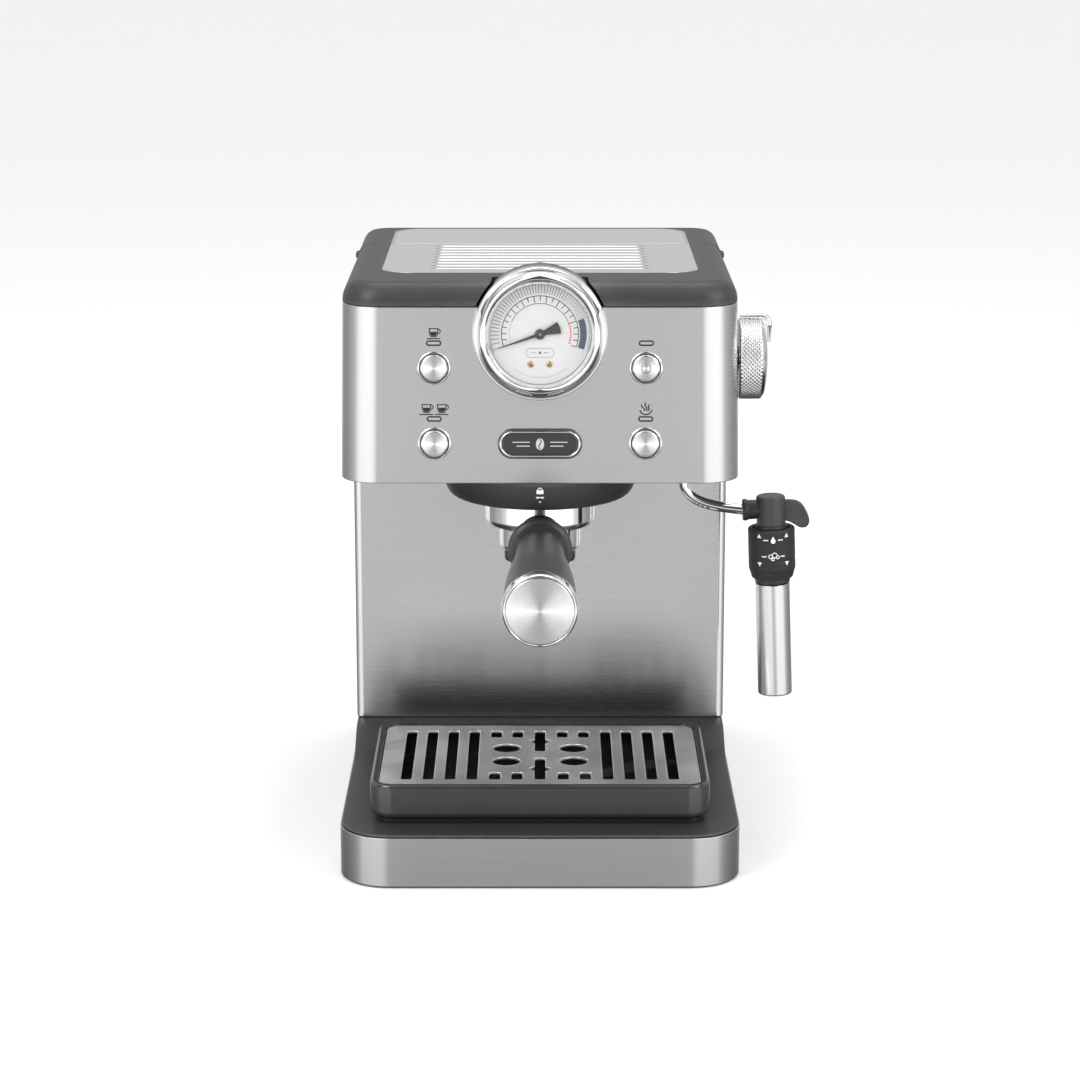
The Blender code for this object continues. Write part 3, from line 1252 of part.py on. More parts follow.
def build_tray():
    half, front, back, r = TRAY_HALF_WIDTH, TRAY_FRONT_Y, TRAY_BACK_Y, TRAY_CORNER
    body = rounded(half, front, back, r, r)
    tray = prism("drip_tray", body, TRAY_FLOOR + TRAY_FOOT_HEIGHT, TRAY_TOP, GLOSS)
    inset = TRAY_FOOT_INSET
    foot = rounded(half - inset, front + inset, back - inset, r - inset, r - inset)
    join(tray, prism("tray_foot", foot, TRAY_FLOOR, TRAY_FLOOR + TRAY_FOOT_HEIGHT + 2 * MM))
    inset = TRAY_WALL - PLAY
    seat_outline = rounded(half - inset, front + inset, back - inset, r - inset, r - inset)
    cut(tray, prism("grid_seat", seat_outline, GRID_TOP - GRID_THICKNESS - GAP, TRAY_TOP + 5 * MM))
    inset = TRAY_WALL + GRID_LEDGE
    well = rounded(half - inset, front + inset, back - inset, r - inset + 2 * MM, r - inset + 2 * MM)
    cut(tray, prism("tray_well", well, TRAY_FLOOR + PLASTIC, TRAY_TOP + 5 * MM))

    corner = r - TRAY_WALL
    sheet = rounded(GRID_HALF_WIDTH, GRID_FRONT_Y, GRID_BACK_Y, corner, corner)
    low = GRID_TOP - GRID_THICKNESS
    grid = prism("drip_grid", sheet, low, GRID_TOP, CHROME)
    long_slot = GRID_BACK_Y - GRID_FRONT_Y - 2 * SLOT_MARGIN
    middle = GRID_MIDDLE_Y
    cutters = []
    for side in (-1, 1):
        for i in range(SLOT_COUNT):
            x = side * (SLOT_FIRST + i * SLOT_PITCH)
            cutters.append(rounded_bar(x, middle, SLOT_WIDTH, long_slot))
        for end in (-1, 1):
            hole_y = middle + end * 0.135 * long_slot
            cutters.append(arc(side * HOLE_FROM_MIDDLE, hole_y, HOLE_RADIUS, 0, 340, 17))
            for shift in (-1, 1):
                x = side * HOLE_FROM_MIDDLE + shift * 5.7 * MM
                y = middle + end * (long_slot / 2 - SQUARE)
                cutters.append(rounded_bar(x, y, SQUARE, 2 * SQUARE))
    for end in (-1, 1):
        cutters.append(notched_slot(middle + end * 0.285 * long_slot, 0.43 * long_slot))
    for number, outline in enumerate(cutters):
        cut(grid, prism(f"grid_cutter_{number}", outline, low - 2 * MM, GRID_TOP + 2 * MM))

    slide = pivot("tray_slide", (0, TRAY_FRONT_Y, TRAY_FLOOR))
    lift = pivot("grid_lift", (0, middle, low))
    attach(slide, tray, lift)
    attach(lift, grid)


def rounded_bar(x, y, width, length):
    """A slot along Y with small round corners."""
    r = 0.25 * width
    half, reach = width / 2 - r, length / 2 - r
    return [
        *arc(x + half, y - reach, r, -90, 0, 2),
        *arc(x + half, y + reach, r, 0, 90, 2),
        *arc(x - half, y + reach, r, 90, 180, 2),
        *arc(x - half, y - reach, r, 180, 270, 2),
    ]


def notched_slot(y, length):
    """A slot along Y on the middle line, with a pointed notch on each side."""
    half, reach, notch, wing = SLOT_WIDTH / 2, length / 2, 3.2 * MM, 2.6 * MM
    right = [
        (half, y - reach),
        (half, y - notch),
        (half + wing, y - 0.4 * notch),
        (half + wing, y + 0.4 * notch),
        (half, y + notch),
        (half, y + reach),
    ]
    return right + [(-x, 2 * y - other) for x, other in right]


# Hidden works: thermoblock, pump and the pipes between them


def build_works():
    block_low = HEAD_BOTTOM + GAP + BREW_HEAD_HEIGHT + GAP
    block_high = block_low + BLOCK_HEIGHT
    block_front = HEAD_FRONT_Y + GAUGE_DEPTH + 4 * MM
    block_back = PANEL_Y - 4 * MM
    half = BLOCK_WIDTH / 2
    box("thermoblock", (-half, block_front, block_low), (half, block_back, block_high), CAST)

    pump_y = PANEL_Y + SHEET + (PARTITION_FROM_PANEL - SHEET) / 2
    pump_z = PLINTH_TOP + 61 * MM
    r = min(PUMP_RADIUS, PARTITION_FROM_PANEL / 2 - 4 * MM)
    half, port = PUMP_LENGTH / 2, PUMP_LENGTH / 2 + PUMP_PORT
    profile = [
        (0, port),
        (4 * MM, port),
        (4 * MM, half),
        (r, half),
        (r, -half),
        (4 * MM, -half),
        (4 * MM, -port),
        (0, -port),
    ]
    turned("pump", profile, (0, pump_y, pump_z), BRASS, TURN_TO_X, 16)

    out = port + 4 * GAP
    low_z = PLINTH_TOP + 10 * MM
    drain_z = SHELF_TOP - 3 * MM - GAP
    intake = [
        (0, TANK_MIDDLE_Y, drain_z),
        (0, TANK_MIDDLE_Y, drain_z - 14 * MM),
        (12 * MM, TANK_MIDDLE_Y - 14 * MM, low_z),
        (45 * MM, PARTITION_Y - 4 * MM, low_z),
        (72 * MM, pump_y, low_z + 14 * MM),
        (70 * MM, pump_y, pump_z - 12 * MM),
        (out + 12 * MM, pump_y, pump_z),
        (out, pump_y, pump_z),
    ]
    tube("intake_hose", intake, 3 * MM, CLEAR, 2)
    enter_z = (block_low + block_high) / 2
    pressure = [
        (-out, pump_y, pump_z),
        (-out - 10 * MM, pump_y, pump_z),
        (-out - 20 * MM, pump_y, pump_z + 14 * MM),
        (-out - 20 * MM, pump_y, 0.5 * (pump_z + enter_z)),
        (-out - 18 * MM, pump_y, enter_z - 18 * MM),
        (-out - 4 * MM, pump_y - 6 * MM, enter_z),
        (-24 * MM, block_back + 10 * MM, enter_z),
        (-20 * MM, block_back + 3 * GAP, enter_z),
    ]
    tube("pressure_hose", pressure, 2.5 * MM, CLEAR, 2)
    valve_x = HALF_HEAD + GAP - SHAFT_LENGTH - VALVE_LENGTH - 5 * GAP
    steam = [
        (valve_x, KNOB_Y, KNOB_Z),
        (valve_x - STEAM_LEAD * (valve_x - STEAM_TURN_X), KNOB_Y, KNOB_Z),
        (STEAM_TURN_X, KNOB_Y + 6 * MM, KNOB_Z + 1 * MM),
        (22 * MM, KNOB_Y + 12 * MM, block_high + 6 * MM),
        (22 * MM, KNOB_Y + 12 * MM, block_high + 3 * GAP),
    ]
    tube("steam_pipe", steam, 2 * MM, BRASS, 2)


build_base()
build_body()
build_head()
build_top()
build_tank()
build_gauge()
build_controls()
build_group()
build_portafilter()
build_knob()
build_wand()
build_tray()
build_works()

for piece in PARTS.objects:
    if piece.type == "MESH":
        piece.data.shade_smooth()
        piece.data.set_sharp_from_angle(angle=math.radians(35))
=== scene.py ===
import math

import bmesh
import bpy
import numpy as np
from mathutils import Matrix, Vector


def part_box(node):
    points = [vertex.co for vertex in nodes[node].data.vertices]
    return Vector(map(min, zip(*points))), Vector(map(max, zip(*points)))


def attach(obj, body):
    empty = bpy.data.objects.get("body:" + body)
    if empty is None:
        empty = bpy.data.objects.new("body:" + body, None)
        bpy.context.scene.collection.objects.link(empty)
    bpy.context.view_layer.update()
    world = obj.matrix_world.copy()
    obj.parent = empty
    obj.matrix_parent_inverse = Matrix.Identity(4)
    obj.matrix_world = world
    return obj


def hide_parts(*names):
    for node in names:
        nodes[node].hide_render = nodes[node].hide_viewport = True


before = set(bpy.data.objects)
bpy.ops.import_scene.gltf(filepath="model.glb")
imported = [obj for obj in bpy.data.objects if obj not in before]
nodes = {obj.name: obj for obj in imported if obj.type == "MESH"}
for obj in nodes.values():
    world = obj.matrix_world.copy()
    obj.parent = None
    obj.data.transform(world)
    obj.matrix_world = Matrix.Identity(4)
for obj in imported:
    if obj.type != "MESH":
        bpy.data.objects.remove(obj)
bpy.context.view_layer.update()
mm = 0.001
sides = ((-1, "Left"), (1, "Right"))

# Camera, floor and studio light

view = {"place": (0.0, -1.5885, 0.5222), "pitch": 13.31, "lens": 100.63}
studio = {"floorReach": 60.0, "skyLevel": 0.98, "floorColour": (0.92, 0.92, 0.92)}
softboxes = [
    # name, place, aim, size, power
    ("keyLight", (-1.1, -1.2, 1.25), (0, 0, 0.12), 0.9, 13),
    ("fillLight", (1.25, -0.9, 0.95), (0, 0, 0.15), 0.8, 8),
    ("topLight", (0.1, 0.35, 1.7), (0, 0, 0.2), 1.1, 6),
]


def boxOf(node):
    low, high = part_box(node)
    return np.array(low), np.array(high)


def setScene():
    scene = bpy.context.scene
    scene.view_settings.view_transform = "Standard"
    data = bpy.data.cameras.new("camera")
    data.lens = view["lens"]
    data.sensor_width = 36
    camera = bpy.data.objects.new("camera", data)
    camera.location = view["place"]
    camera.rotation_euler = (math.radians(90 - view["pitch"]), 0, 0)
    scene.collection.objects.link(camera)
    scene.camera = camera
    for name, place, aim, size, power in softboxes:
        lamp = bpy.data.lights.new(name, "AREA")
        lamp.shape = "SQUARE"
        lamp.size = size
        lamp.energy = power
        holder = bpy.data.objects.new(name, lamp)
        holder.location = place
        holder.rotation_euler = (Vector(aim) - Vector(place)).to_track_quat("-Z", "Y").to_euler()
        scene.collection.objects.link(holder)


# The sky: plain white to the eye and for soft light, and for reflections a studio
# with a grey front, bright panels at both sides and a dark gap behind.

reflections = {
    # (share of the half turn from front to back, brightness)
    "below": [(0.0, 0.84), (0.03, 0.9), (0.09, 1.65), (0.36, 1.5), (0.45, 0.75),
              (0.52, 0.5), (0.66, 0.32), (0.76, 0.3), (0.86, 0.5), (1.0, 0.4)],
    "above": [(0.0, 0.08), (0.08, 0.12), (0.13, 1.2), (0.32, 1.2), (0.38, 0.10), (0.55, 0.7), (0.85, 0.75),
              (1.0, 0.66)],
    # (height from straight down to straight up, brightness)
    "horizon": [(0.0, 0.0), (0.46, 0.0), (0.54, 1.0), (1.0, 1.0)],
    "poles": [(0.0, 0.3), (0.20, 0.08), (0.31, 0.16), (0.36, 1.0), (0.62, 1.0), (0.74, 0.5), (0.85, 1.2), (1.0, 1.3)],
}


def rampNode(tree, value, stops):
    node = tree.nodes.new("ShaderNodeValToRGB")
    node.color_ramp.interpolation = "EASE"
    elements = node.color_ramp.elements
    while len(elements) < len(stops):
        elements.new(0.5)
    for element, (place, level) in zip(elements, stops):
        element.position = place
        element.color = (level, level, level, 1)
    tree.links.new(value, node.inputs[0])
    return node.outputs[0]


def mathNode(tree, operation, first, second=None):
    node = tree.nodes.new("ShaderNodeMath")
    node.operation = operation
    for socket, value in zip(node.inputs, (first, second)):
        if value is None:
            continue
        if isinstance(value, (int, float)):
            socket.default_value = value
        else:
            tree.links.new(value, socket)
    return node.outputs[0]


def mixColours(tree, factor, first, second):
    node = tree.nodes.new("ShaderNodeMix")
    node.data_type = "RGBA"
    tree.links.new(factor, node.inputs[0])
    for socket, value in ((node.inputs[6], first), (node.inputs[7], second)):
        if isinstance(value, tuple):
            socket.default_value = (*value, 1)
        else:
            tree.links.new(value, socket)
    return node.outputs[2]


def setSky():
    world = bpy.data.worlds.new("studio")
    world.use_nodes = True
    bpy.context.scene.world = world
    tree = world.node_tree
    tree.nodes.clear()
    link = tree.links.new
    direction = tree.nodes.new("ShaderNodeTexCoord").outputs["Generated"]
    parts = tree.nodes.new("ShaderNodeSeparateXYZ")
    link(direction, parts.inputs[0])
    side = mathNode(tree, "ABSOLUTE", parts.outputs[0])
    front = mathNode(tree, "MULTIPLY", parts.outputs[1], -1)
    turn = mathNode(tree, "DIVIDE", mathNode(tree, "ARCTAN2", side, front), math.pi)
    height = mathNode(tree, "ADD", mathNode(tree, "MULTIPLY", parts.outputs[2], 0.5), 0.5)
    below, above = rampNode(tree, turn, reflections["below"]), rampNode(tree, turn, reflections["above"])
    blend = mixColours(tree, rampNode(tree, height, reflections["horizon"]), below, above)
    shade = tree.nodes.new("ShaderNodeMix")
    shade.data_type = "RGBA"
    shade.blend_type = "MULTIPLY"
    shade.inputs[0].default_value = 1
    link(blend, shade.inputs[6])
    link(rampNode(tree, height, reflections["poles"]), shade.inputs[7])
    path = tree.nodes.new("ShaderNodeLightPath")
    mirrored = tree.nodes.new("ShaderNodeBackground")
    link(shade.outputs[2], mirrored.inputs[0])
    plain = tree.nodes.new("ShaderNodeBackground")
    plain.inputs[0].default_value = (1, 1, 1, 1)
    plain.inputs[1].default_value = studio["skyLevel"]
    mix = tree.nodes.new("ShaderNodeMixShader")
    link(path.outputs["Is Glossy Ray"], mix.inputs[0])
    link(plain.outputs[0], mix.inputs[1])
    link(mirrored.outputs[0], mix.inputs[2])
    link(mix.outputs[0], tree.nodes.new("ShaderNodeOutputWorld").inputs[0])


setScene()
setSky()
print("camera and light set")

# Effects that several finishes share. Each is a node group that puts out masks.


def newGroup(name, inputs, outputs):
    group = bpy.data.node_groups.new(name, "ShaderNodeTree")
    for label, kind, value in inputs:
        socket = group.interface.new_socket(name=label, in_out="INPUT", socket_type=kind)
        if value is not None:
            socket.default_value = value
    for label in outputs:
        group.interface.new_socket(name=label, in_out="OUTPUT", socket_type="NodeSocketFloat")
    return group, group.nodes.new("NodeGroupInput"), group.nodes.new("NodeGroupOutput")


def noiseNode(tree, vector, scale, detail=3.0, roughness=0.55):
    node = tree.nodes.new("ShaderNodeTexNoise")
    node.inputs["Scale"].default_value = scale
    node.inputs["Detail"].default_value = detail
    node.inputs["Roughness"].default_value = roughness
    tree.links.new(vector, node.inputs["Vector"])
    return node


def scaledVector(tree, vector, factors):
    node = tree.nodes.new("ShaderNodeVectorMath")
    node.operation = "MULTIPLY"
    tree.links.new(vector, node.inputs[0])
    if isinstance(factors, tuple):
        node.inputs[1].default_value = factors
    else:
        tree.links.new(factors, node.inputs[1])
    return node.outputs[0]


def streakGroup():
    # Long thin streaks: noise read on coordinates that are squeezed across the grain.
    group, given, made = newGroup(
        "brushStreaks",
        [("Vector", "NodeSocketVector", None), ("Stretch", "NodeSocketVector", (20, 2600, 2600))],
        ["Streak", "Drift"],
    )
    squeezed = scaledVector(group, given.outputs["Vector"], given.outputs["Stretch"])
    fine = noiseNode(group, squeezed, 1.0, 5.0, 0.7)
    coarse = noiseNode(group, scaledVector(group, squeezed, (0.15, 0.02, 0.02)), 1.0, 2.0)
    group.links.new(fine.outputs["Fac"], made.inputs["Streak"])
    group.links.new(coarse.outputs["Fac"], made.inputs["Drift"])
    return group


def grainGroup():
    # Moulded surface: fine even grain, and broad patches where hands and cloths have been.
    group, given, made = newGroup(
        "mouldGrain",
        [("Vector", "NodeSocketVector", None), ("Grain Size", "NodeSocketVector", (3200, 3200, 3200))],
        ["Grain", "Patch"],
    )
    packed = scaledVector(group, given.outputs["Vector"], given.outputs["Grain Size"])
    fine = noiseNode(group, packed, 1.0, 2.0)
    broad = noiseNode(group, given.outputs["Vector"], 28.0, 3.0)
    group.links.new(fine.outputs["Fac"], made.inputs["Grain"])
    group.links.new(broad.outputs["Fac"], made.inputs["Patch"])
    return group


def rubGroup():
    # Edges that rubbing has polished: the mesh's pointiness, broken up by noise.
    group, given, made = newGroup("edgeRub", [("Vector", "NodeSocketVector", None)], ["Rub"])
    shape = group.nodes.new("ShaderNodeNewGeometry")
    spread = group.nodes.new("ShaderNodeMapRange")
    spread.inputs["From Min"].default_value = 0.515
    spread.inputs["From Max"].default_value = 0.60
    group.links.new(shape.outputs["Pointiness"], spread.inputs["Value"])
    patchy = noiseNode(group, given.outputs["Vector"], 90.0, 4.0)
    rub = mathNode(group, "MULTIPLY", spread.outputs["Result"], patchy.outputs["Fac"])
    group.links.new(rub, made.inputs["Rub"])
    return group


groups = {"streak": streakGroup(), "grain": grainGroup(), "rub": rubGroup()}


def useGroup(tree, kind, vector):
    node = tree.nodes.new("ShaderNodeGroup")
    node.node_tree = groups[kind]
    tree.links.new(vector, node.inputs["Vector"])
    return node


def mapRange(tree, value, low, high):
    node = tree.nodes.new("ShaderNodeMapRange")
    node.inputs["To Min"].default_value = low
    node.inputs["To Max"].default_value = high
    tree.links.new(value, node.inputs["Value"])
    return node.outputs["Result"]


def bumpFrom(tree, height, distance, strength):
    node = tree.nodes.new("ShaderNodeBump")
    node.inputs["Strength"].default_value = strength
    node.inputs["Distance"].default_value = distance
    tree.links.new(height, node.inputs["Height"])
    return node.outputs["Normal"]


finishes = {}


def newFinish(name, coords="Object"):
    # A new material: its tree, its shader and the coordinates that its pattern reads.
    finishes[name] = bpy.data.materials.new(name)
    finishes[name].use_nodes = True
    tree = finishes[name].node_tree
    return tree, tree.nodes["Principled BSDF"], tree.nodes.new("ShaderNodeTexCoord").outputs[coords]


def scaledColour(colour, factor):
    return tuple(min(1.0, c * factor) for c in colour)


def steelFinish(name, colour, roughness, stretch, coords="UV", depth=0.03, variation=0.12, anisotropy=0.0):
    # Metal with a grain. On UV the grain follows the sheet; on Object it runs along the axis with the small factor.
    tree, shader, where = newFinish(name, coords)
    streaks = useGroup(tree, "streak", where)
    streaks.inputs["Stretch"].default_value = stretch
    light, dark = scaledColour(colour, 1 + variation), scaledColour(colour, 1 - variation)
    base = mixColours(tree, streaks.outputs["Streak"], dark, light)
    tree.links.new(base, shader.inputs["Base Color"])
    rough = mapRange(tree, streaks.outputs["Streak"], roughness * 0.78, roughness * 1.22)
    tree.links.new(rough, shader.inputs["Roughness"])
    tree.links.new(bumpFrom(tree, streaks.outputs["Streak"], 0.02 * mm, depth), shader.inputs["Normal"])
    shader.inputs["Metallic"].default_value = 1
    shader.inputs["Anisotropic"].default_value = anisotropy
    shader.inputs["Anisotropic Rotation"].default_value = 0.25
    if anisotropy:
        tangent = tree.nodes.new("ShaderNodeTangent")
        tangent.direction_type = "UV_MAP"
        tangent.uv_map = "surface"
        tree.links.new(tangent.outputs[0], shader.inputs["Tangent"])


def polishedFinish(name, colour, roughness):
    # Plated metal: a clean mirror with faint haze where it has been wiped.
    tree, shader, where = newFinish(name)
    grain = useGroup(tree, "grain", where)
    rough = mapRange(tree, grain.outputs["Patch"], roughness * 0.6, roughness * 1.6)
    tree.links.new(rough, shader.inputs["Roughness"])
    base = mixColours(tree, grain.outputs["Patch"], scaledColour(colour, 0.96), colour)
    tree.links.new(base, shader.inputs["Base Color"])
    shader.inputs["Metallic"].default_value = 1


def mouldedFinish(name, colour, roughness, grainSize=3200, depth=0.12, rub=0.35, metallic=0.0, coat=0.0):
    # Moulded or cast: fine grain in the bump, patches in the gloss, and paler rubbed edges.
    tree, shader, where = newFinish(name)
    grain = useGroup(tree, "grain", where)
    grain.inputs["Grain Size"].default_value = (grainSize,) * 3
    wear = useGroup(tree, "rub", where)
    toned = mixColours(tree, grain.outputs["Patch"], scaledColour(colour, 0.95), scaledColour(colour, 1.05))
    worn = mathNode(tree, "MULTIPLY", wear.outputs["Rub"], rub)
    pale = tuple(c + (1 - c) * 0.35 for c in colour)
    tree.links.new(mixColours(tree, worn, toned, pale), shader.inputs["Base Color"])
    rough = mapRange(tree, grain.outputs["Patch"], roughness * 0.95, roughness * 1.05)
    tree.links.new(rough, shader.inputs["Roughness"])
    tree.links.new(bumpFrom(tree, grain.outputs["Grain"], 0.03 * mm, depth), shader.inputs["Normal"])
    shader.inputs["Metallic"].default_value = metallic
    if coat:
        shader.inputs["Coat Weight"].default_value = coat
        shader.inputs["Coat Roughness"].default_value = 0.05


def clearFinish(name, colour, roughness, opacity):
    # Thin clear plastic or glass: mostly see-through, with a gloss that grows towards the rim.
    tree, shader, where = newFinish(name)
    grain = useGroup(tree, "grain", where)
    tone = mixColours(tree, grain.outputs["Patch"], scaledColour(colour, 0.95), colour)
    tree.links.new(tone, shader.inputs["Base Color"])
    rough = mapRange(tree, grain.outputs["Patch"], roughness * 0.7, roughness * 1.3)
    tree.links.new(rough, shader.inputs["Roughness"])
    rim = tree.nodes.new("ShaderNodeLayerWeight")
    rim.inputs["Blend"].default_value = 0.25
    seen = mapRange(tree, rim.outputs["Facing"], opacity, min(1, opacity + 0.35))
    tree.links.new(seen, shader.inputs["Alpha"])


def boardFinish(name):
    # Circuit board: green lacquer over paler copper tracks, drawn by a brick pattern.
    tree, shader, where = newFinish(name)
    tracks = tree.nodes.new("ShaderNodeTexBrick")
    tracks.inputs["Scale"].default_value = 90
    tracks.inputs["Mortar Size"].default_value = 0.03
    tree.links.new(where, tracks.inputs["Vector"])
    base = mixColours(tree, tracks.outputs["Fac"], (0.02, 0.16, 0.06), (0.10, 0.30, 0.12))
    tree.links.new(base, shader.inputs["Base Color"])
    shader.inputs["Roughness"].default_value = 0.35


sheet = {"stretch": (10, 2100, 2100), "depth": 0.055, "variation": 0.14, "anisotropy": 0.55}
printed = {"depth": 0.05, "rub": 0.0}
steelFinish("brushedSteel", (0.72, 0.725, 0.735), 0.26, **sheet)
steelFinish("bandSteel", (0.62, 0.625, 0.635), 0.26, **sheet)
steelFinish("plateSteel", (0.72, 0.725, 0.735), 0.17, (16, 2400, 2400), "Object", 0.04)
steelFinish("tubeSteel", (0.66, 0.66, 0.67), 0.22, (2200, 12, 12), depth=0.05, variation=0.16)
steelFinish("spunMetal", (0.96, 0.96, 0.97), 0.27, (5, 2600, 2600), depth=0.05, anisotropy=0.9)
polishedFinish("knurledChrome", (0.86, 0.86, 0.87), 0.14)
polishedFinish("chrome", (0.88, 0.88, 0.89), 0.06)
polishedFinish("gridChrome", (0.95, 0.95, 0.96), 0.4)
mouldedFinish("darkSatin", (0.030, 0.030, 0.031), 0.44)
mouldedFinish("deckSatin", (0.033, 0.033, 0.033), 0.42)
mouldedFinish("glossDark", (0.018, 0.018, 0.018), 0.16, depth=0.02, coat=0.4)
mouldedFinish("gripSatin", (0.045, 0.046, 0.047), 0.38, depth=0.08)
mouldedFinish("sleeveBlack", (0.018, 0.018, 0.019), 0.55, grainSize=1500, depth=0.5)
mouldedFinish("blackPlastic", (0.022, 0.022, 0.023), 0.36)
mouldedFinish("rubber", (0.03, 0.03, 0.03), 0.75, grainSize=1800, depth=0.3, rub=0.1)
mouldedFinish("dialWhite", (0.66, 0.66, 0.66), 0.7, depth=0.03, rub=0.0)
mouldedFinish("printBlack", (0.012, 0.012, 0.013), 0.6, **printed)
mouldedFinish("printGrey", (0.16, 0.16, 0.165), 0.5, **printed)
mouldedFinish("printBlue", (0.06, 0.075, 0.12), 0.5, **printed)
mouldedFinish("printRed", (0.75, 0.04, 0.035), 0.5, **printed)
mouldedFinish("printWhite", (0.82, 0.82, 0.82), 0.5, **printed)
mouldedFinish("lampLens", (0.36, 0.37, 0.38), 0.22, depth=0.02, rub=0.0)
mouldedFinish("castMetal", (0.50, 0.50, 0.51), 0.5, 900, 0.4, metallic=1.0)
mouldedFinish("brass", (0.62, 0.44, 0.20), 0.3, 1200, 0.15, metallic=1.0)
clearFinish("glassClear", (0.97, 0.98, 0.99), 0.03, 0.02)
clearFinish("tankClear", (0.08, 0.085, 0.09), 0.10, 0.55)
clearFinish("hoseClear", (0.75, 0.77, 0.78), 0.25, 0.7)
boardFinish("boardGreen")
print("finishes made:", len(finishes))

# Surfaces. A grid is an array (rows, columns, 3); rows run along a profile and columns round it.


def finishMesh(name, bm, finish, sharp=32):
    bmesh.ops.remove_doubles(bm, verts=bm.verts, dist=2e-7)
    bmesh.ops.dissolve_degenerate(bm, edges=bm.edges, dist=1e-7)
    mesh = bpy.data.meshes.new(name)
    bm.to_mesh(mesh)
    bm.free()
    mesh.shade_smooth()
    mesh.set_sharp_from_angle(angle=math.radians(sharp))
    mesh.materials.append(finishes[finish])
    piece = bpy.data.objects.new(name, mesh)
    bpy.context.scene.collection.objects.link(piece)
    return piece


def gridInto(bm, grid, roundColumns=True, roundRows=False, capFirst=False, capLast=False):
    # Joins the grid's points into quads. The map's U is the length along a row and V the length along a column.
    rows, columns = grid.shape[:2]
    uv = bm.loops.layers.uv.get("surface") or bm.loops.layers.uv.new("surface")
    points = [bm.verts.new(p) for p in grid.reshape(-1, 3).tolist()]
    wrap = np.concatenate([grid, grid[:, :1]], axis=1) if roundColumns else grid
    across = np.linalg.norm(np.diff(wrap, axis=1), axis=2).max(axis=0)
    tall = np.concatenate([grid, grid[:1]], axis=0) if roundRows else grid
    along = np.linalg.norm(np.diff(tall, axis=0), axis=2).max(axis=1)
    u = np.concatenate([[0], np.cumsum(across)])
    v = np.concatenate([[0], np.cumsum(along)])
    lastRow, lastColumn = len(along), len(across)
    for i in range(lastRow):
        for j in range(lastColumn):
            k, m = (i + 1) % rows, (j + 1) % columns
            corners = (i * columns + j, i * columns + m, k * columns + m, k * columns + j)
            face = bm.faces.new([points[c] for c in corners])
            marks = ((u[j], v[i]), (u[j + 1], v[i]), (u[j + 1], v[i + 1]), (u[j], v[i + 1]))
            for loop, mark in zip(face.loops, marks):
                loop[uv].uv = mark
    for wanted, row in ((capFirst, range(columns - 1, -1, -1)), (capLast, range((rows - 1) * columns, rows * columns))):
        if wanted:
            face = bm.faces.new([points[c] for c in row])
            for loop in face.loops:
                loop[uv].uv = (loop.vert.co.x, loop.vert.co.y)
    return bm


def evenNormals(piece):
    modifier = piece.modifiers.new("normals", "WEIGHTED_NORMAL")
    modifier.keep_sharp = True
    return piece


def surfacePiece(name, grids, finish, sharp=32, **joins):
    # One piece from one or more closed grids, with its faces turned outwards.
    bm = bmesh.new()
    for grid in grids if isinstance(grids, list) else [grids]:
        gridInto(bm, grid, **joins)
    bmesh.ops.remove_doubles(bm, verts=bm.verts, dist=2e-7)
    bmesh.ops.recalc_face_normals(bm, faces=bm.faces)
    return evenNormals(finishMesh(name, bm, finish, sharp))


def place(piece, body, slot, *replaced):
    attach(piece, body)
    if replaced:
        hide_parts(*replaced)
    return piece


def eased(points, radii, closed=False, steps=5):
    # Rounds a polyline's corners. Each corner P becomes a parabola from P - a to P + b, tangent to both sides.
    points = [np.array(p, float) for p in points]
    if np.isscalar(radii):
        radii = [radii] * len(points)
    made, count = [], len(points)
    for i, (corner, radius) in enumerate(zip(points, radii)):
        if radius == 0 or (not closed and i in (0, count - 1)):
            made.append(corner)
            continue
        back, ahead = points[i - 1] - corner, points[(i + 1) % count] - corner
        reachBack = min(radius, 0.48 * np.linalg.norm(back)) / max(np.linalg.norm(back), 1e-12)
        reachAhead = min(radius, 0.48 * np.linalg.norm(ahead)) / max(np.linalg.norm(ahead), 1e-12)
        start, end = corner + back * reachBack, corner + ahead * reachAhead
        s = np.linspace(0, 1, steps)[:, None]
        made.extend((1 - s) ** 2 * start + 2 * s * (1 - s) * corner + s**2 * end)
    return np.array(made)


def turnedGrid(profile, centre, axis="Z", sides=96):
    # (radius r, height h) points turned round: (r cos a, r sin a, h), then laid along the axis.
    profile = np.asarray(profile, float)
    angle = np.linspace(0, 2 * math.pi, sides, endpoint=False)
    r, h = profile[:, :1], profile[:, 1:]
    flat = np.stack([r * np.cos(angle), r * np.sin(angle), h + 0 * angle], axis=2)
    turn = {"Z": (0, 1, 2), "Y": (0, 2, 1), "X": (2, 1, 0)}[axis]
    laid = flat[:, :, list(turn)]
    if axis == "Y":
        laid = laid * np.array([1, -1, 1])  # heights run towards the front
    return laid + np.asarray(centre, float)


def turnedPiece(name, profile, centre, finish, axis="Z", sides=96, ring=False, sharp=32):
    return surfacePiece(name, turnedGrid(profile, centre, axis, sides), finish, sharp, roundRows=ring)


def easedMm(points, radii, closed=False, steps=5):
    # The same for points and radii in millimetres.
    return eased(points, radii, closed, steps) * mm


def raised(points, height):
    return [(r, h + height) for r, h in points]


def grownLoop(width, height, grow, steps=12):
    # A stadium about the origin, with grow added all round it.
    return stadium(0, 0, width + 2 * grow, height + 2 * grow, steps)


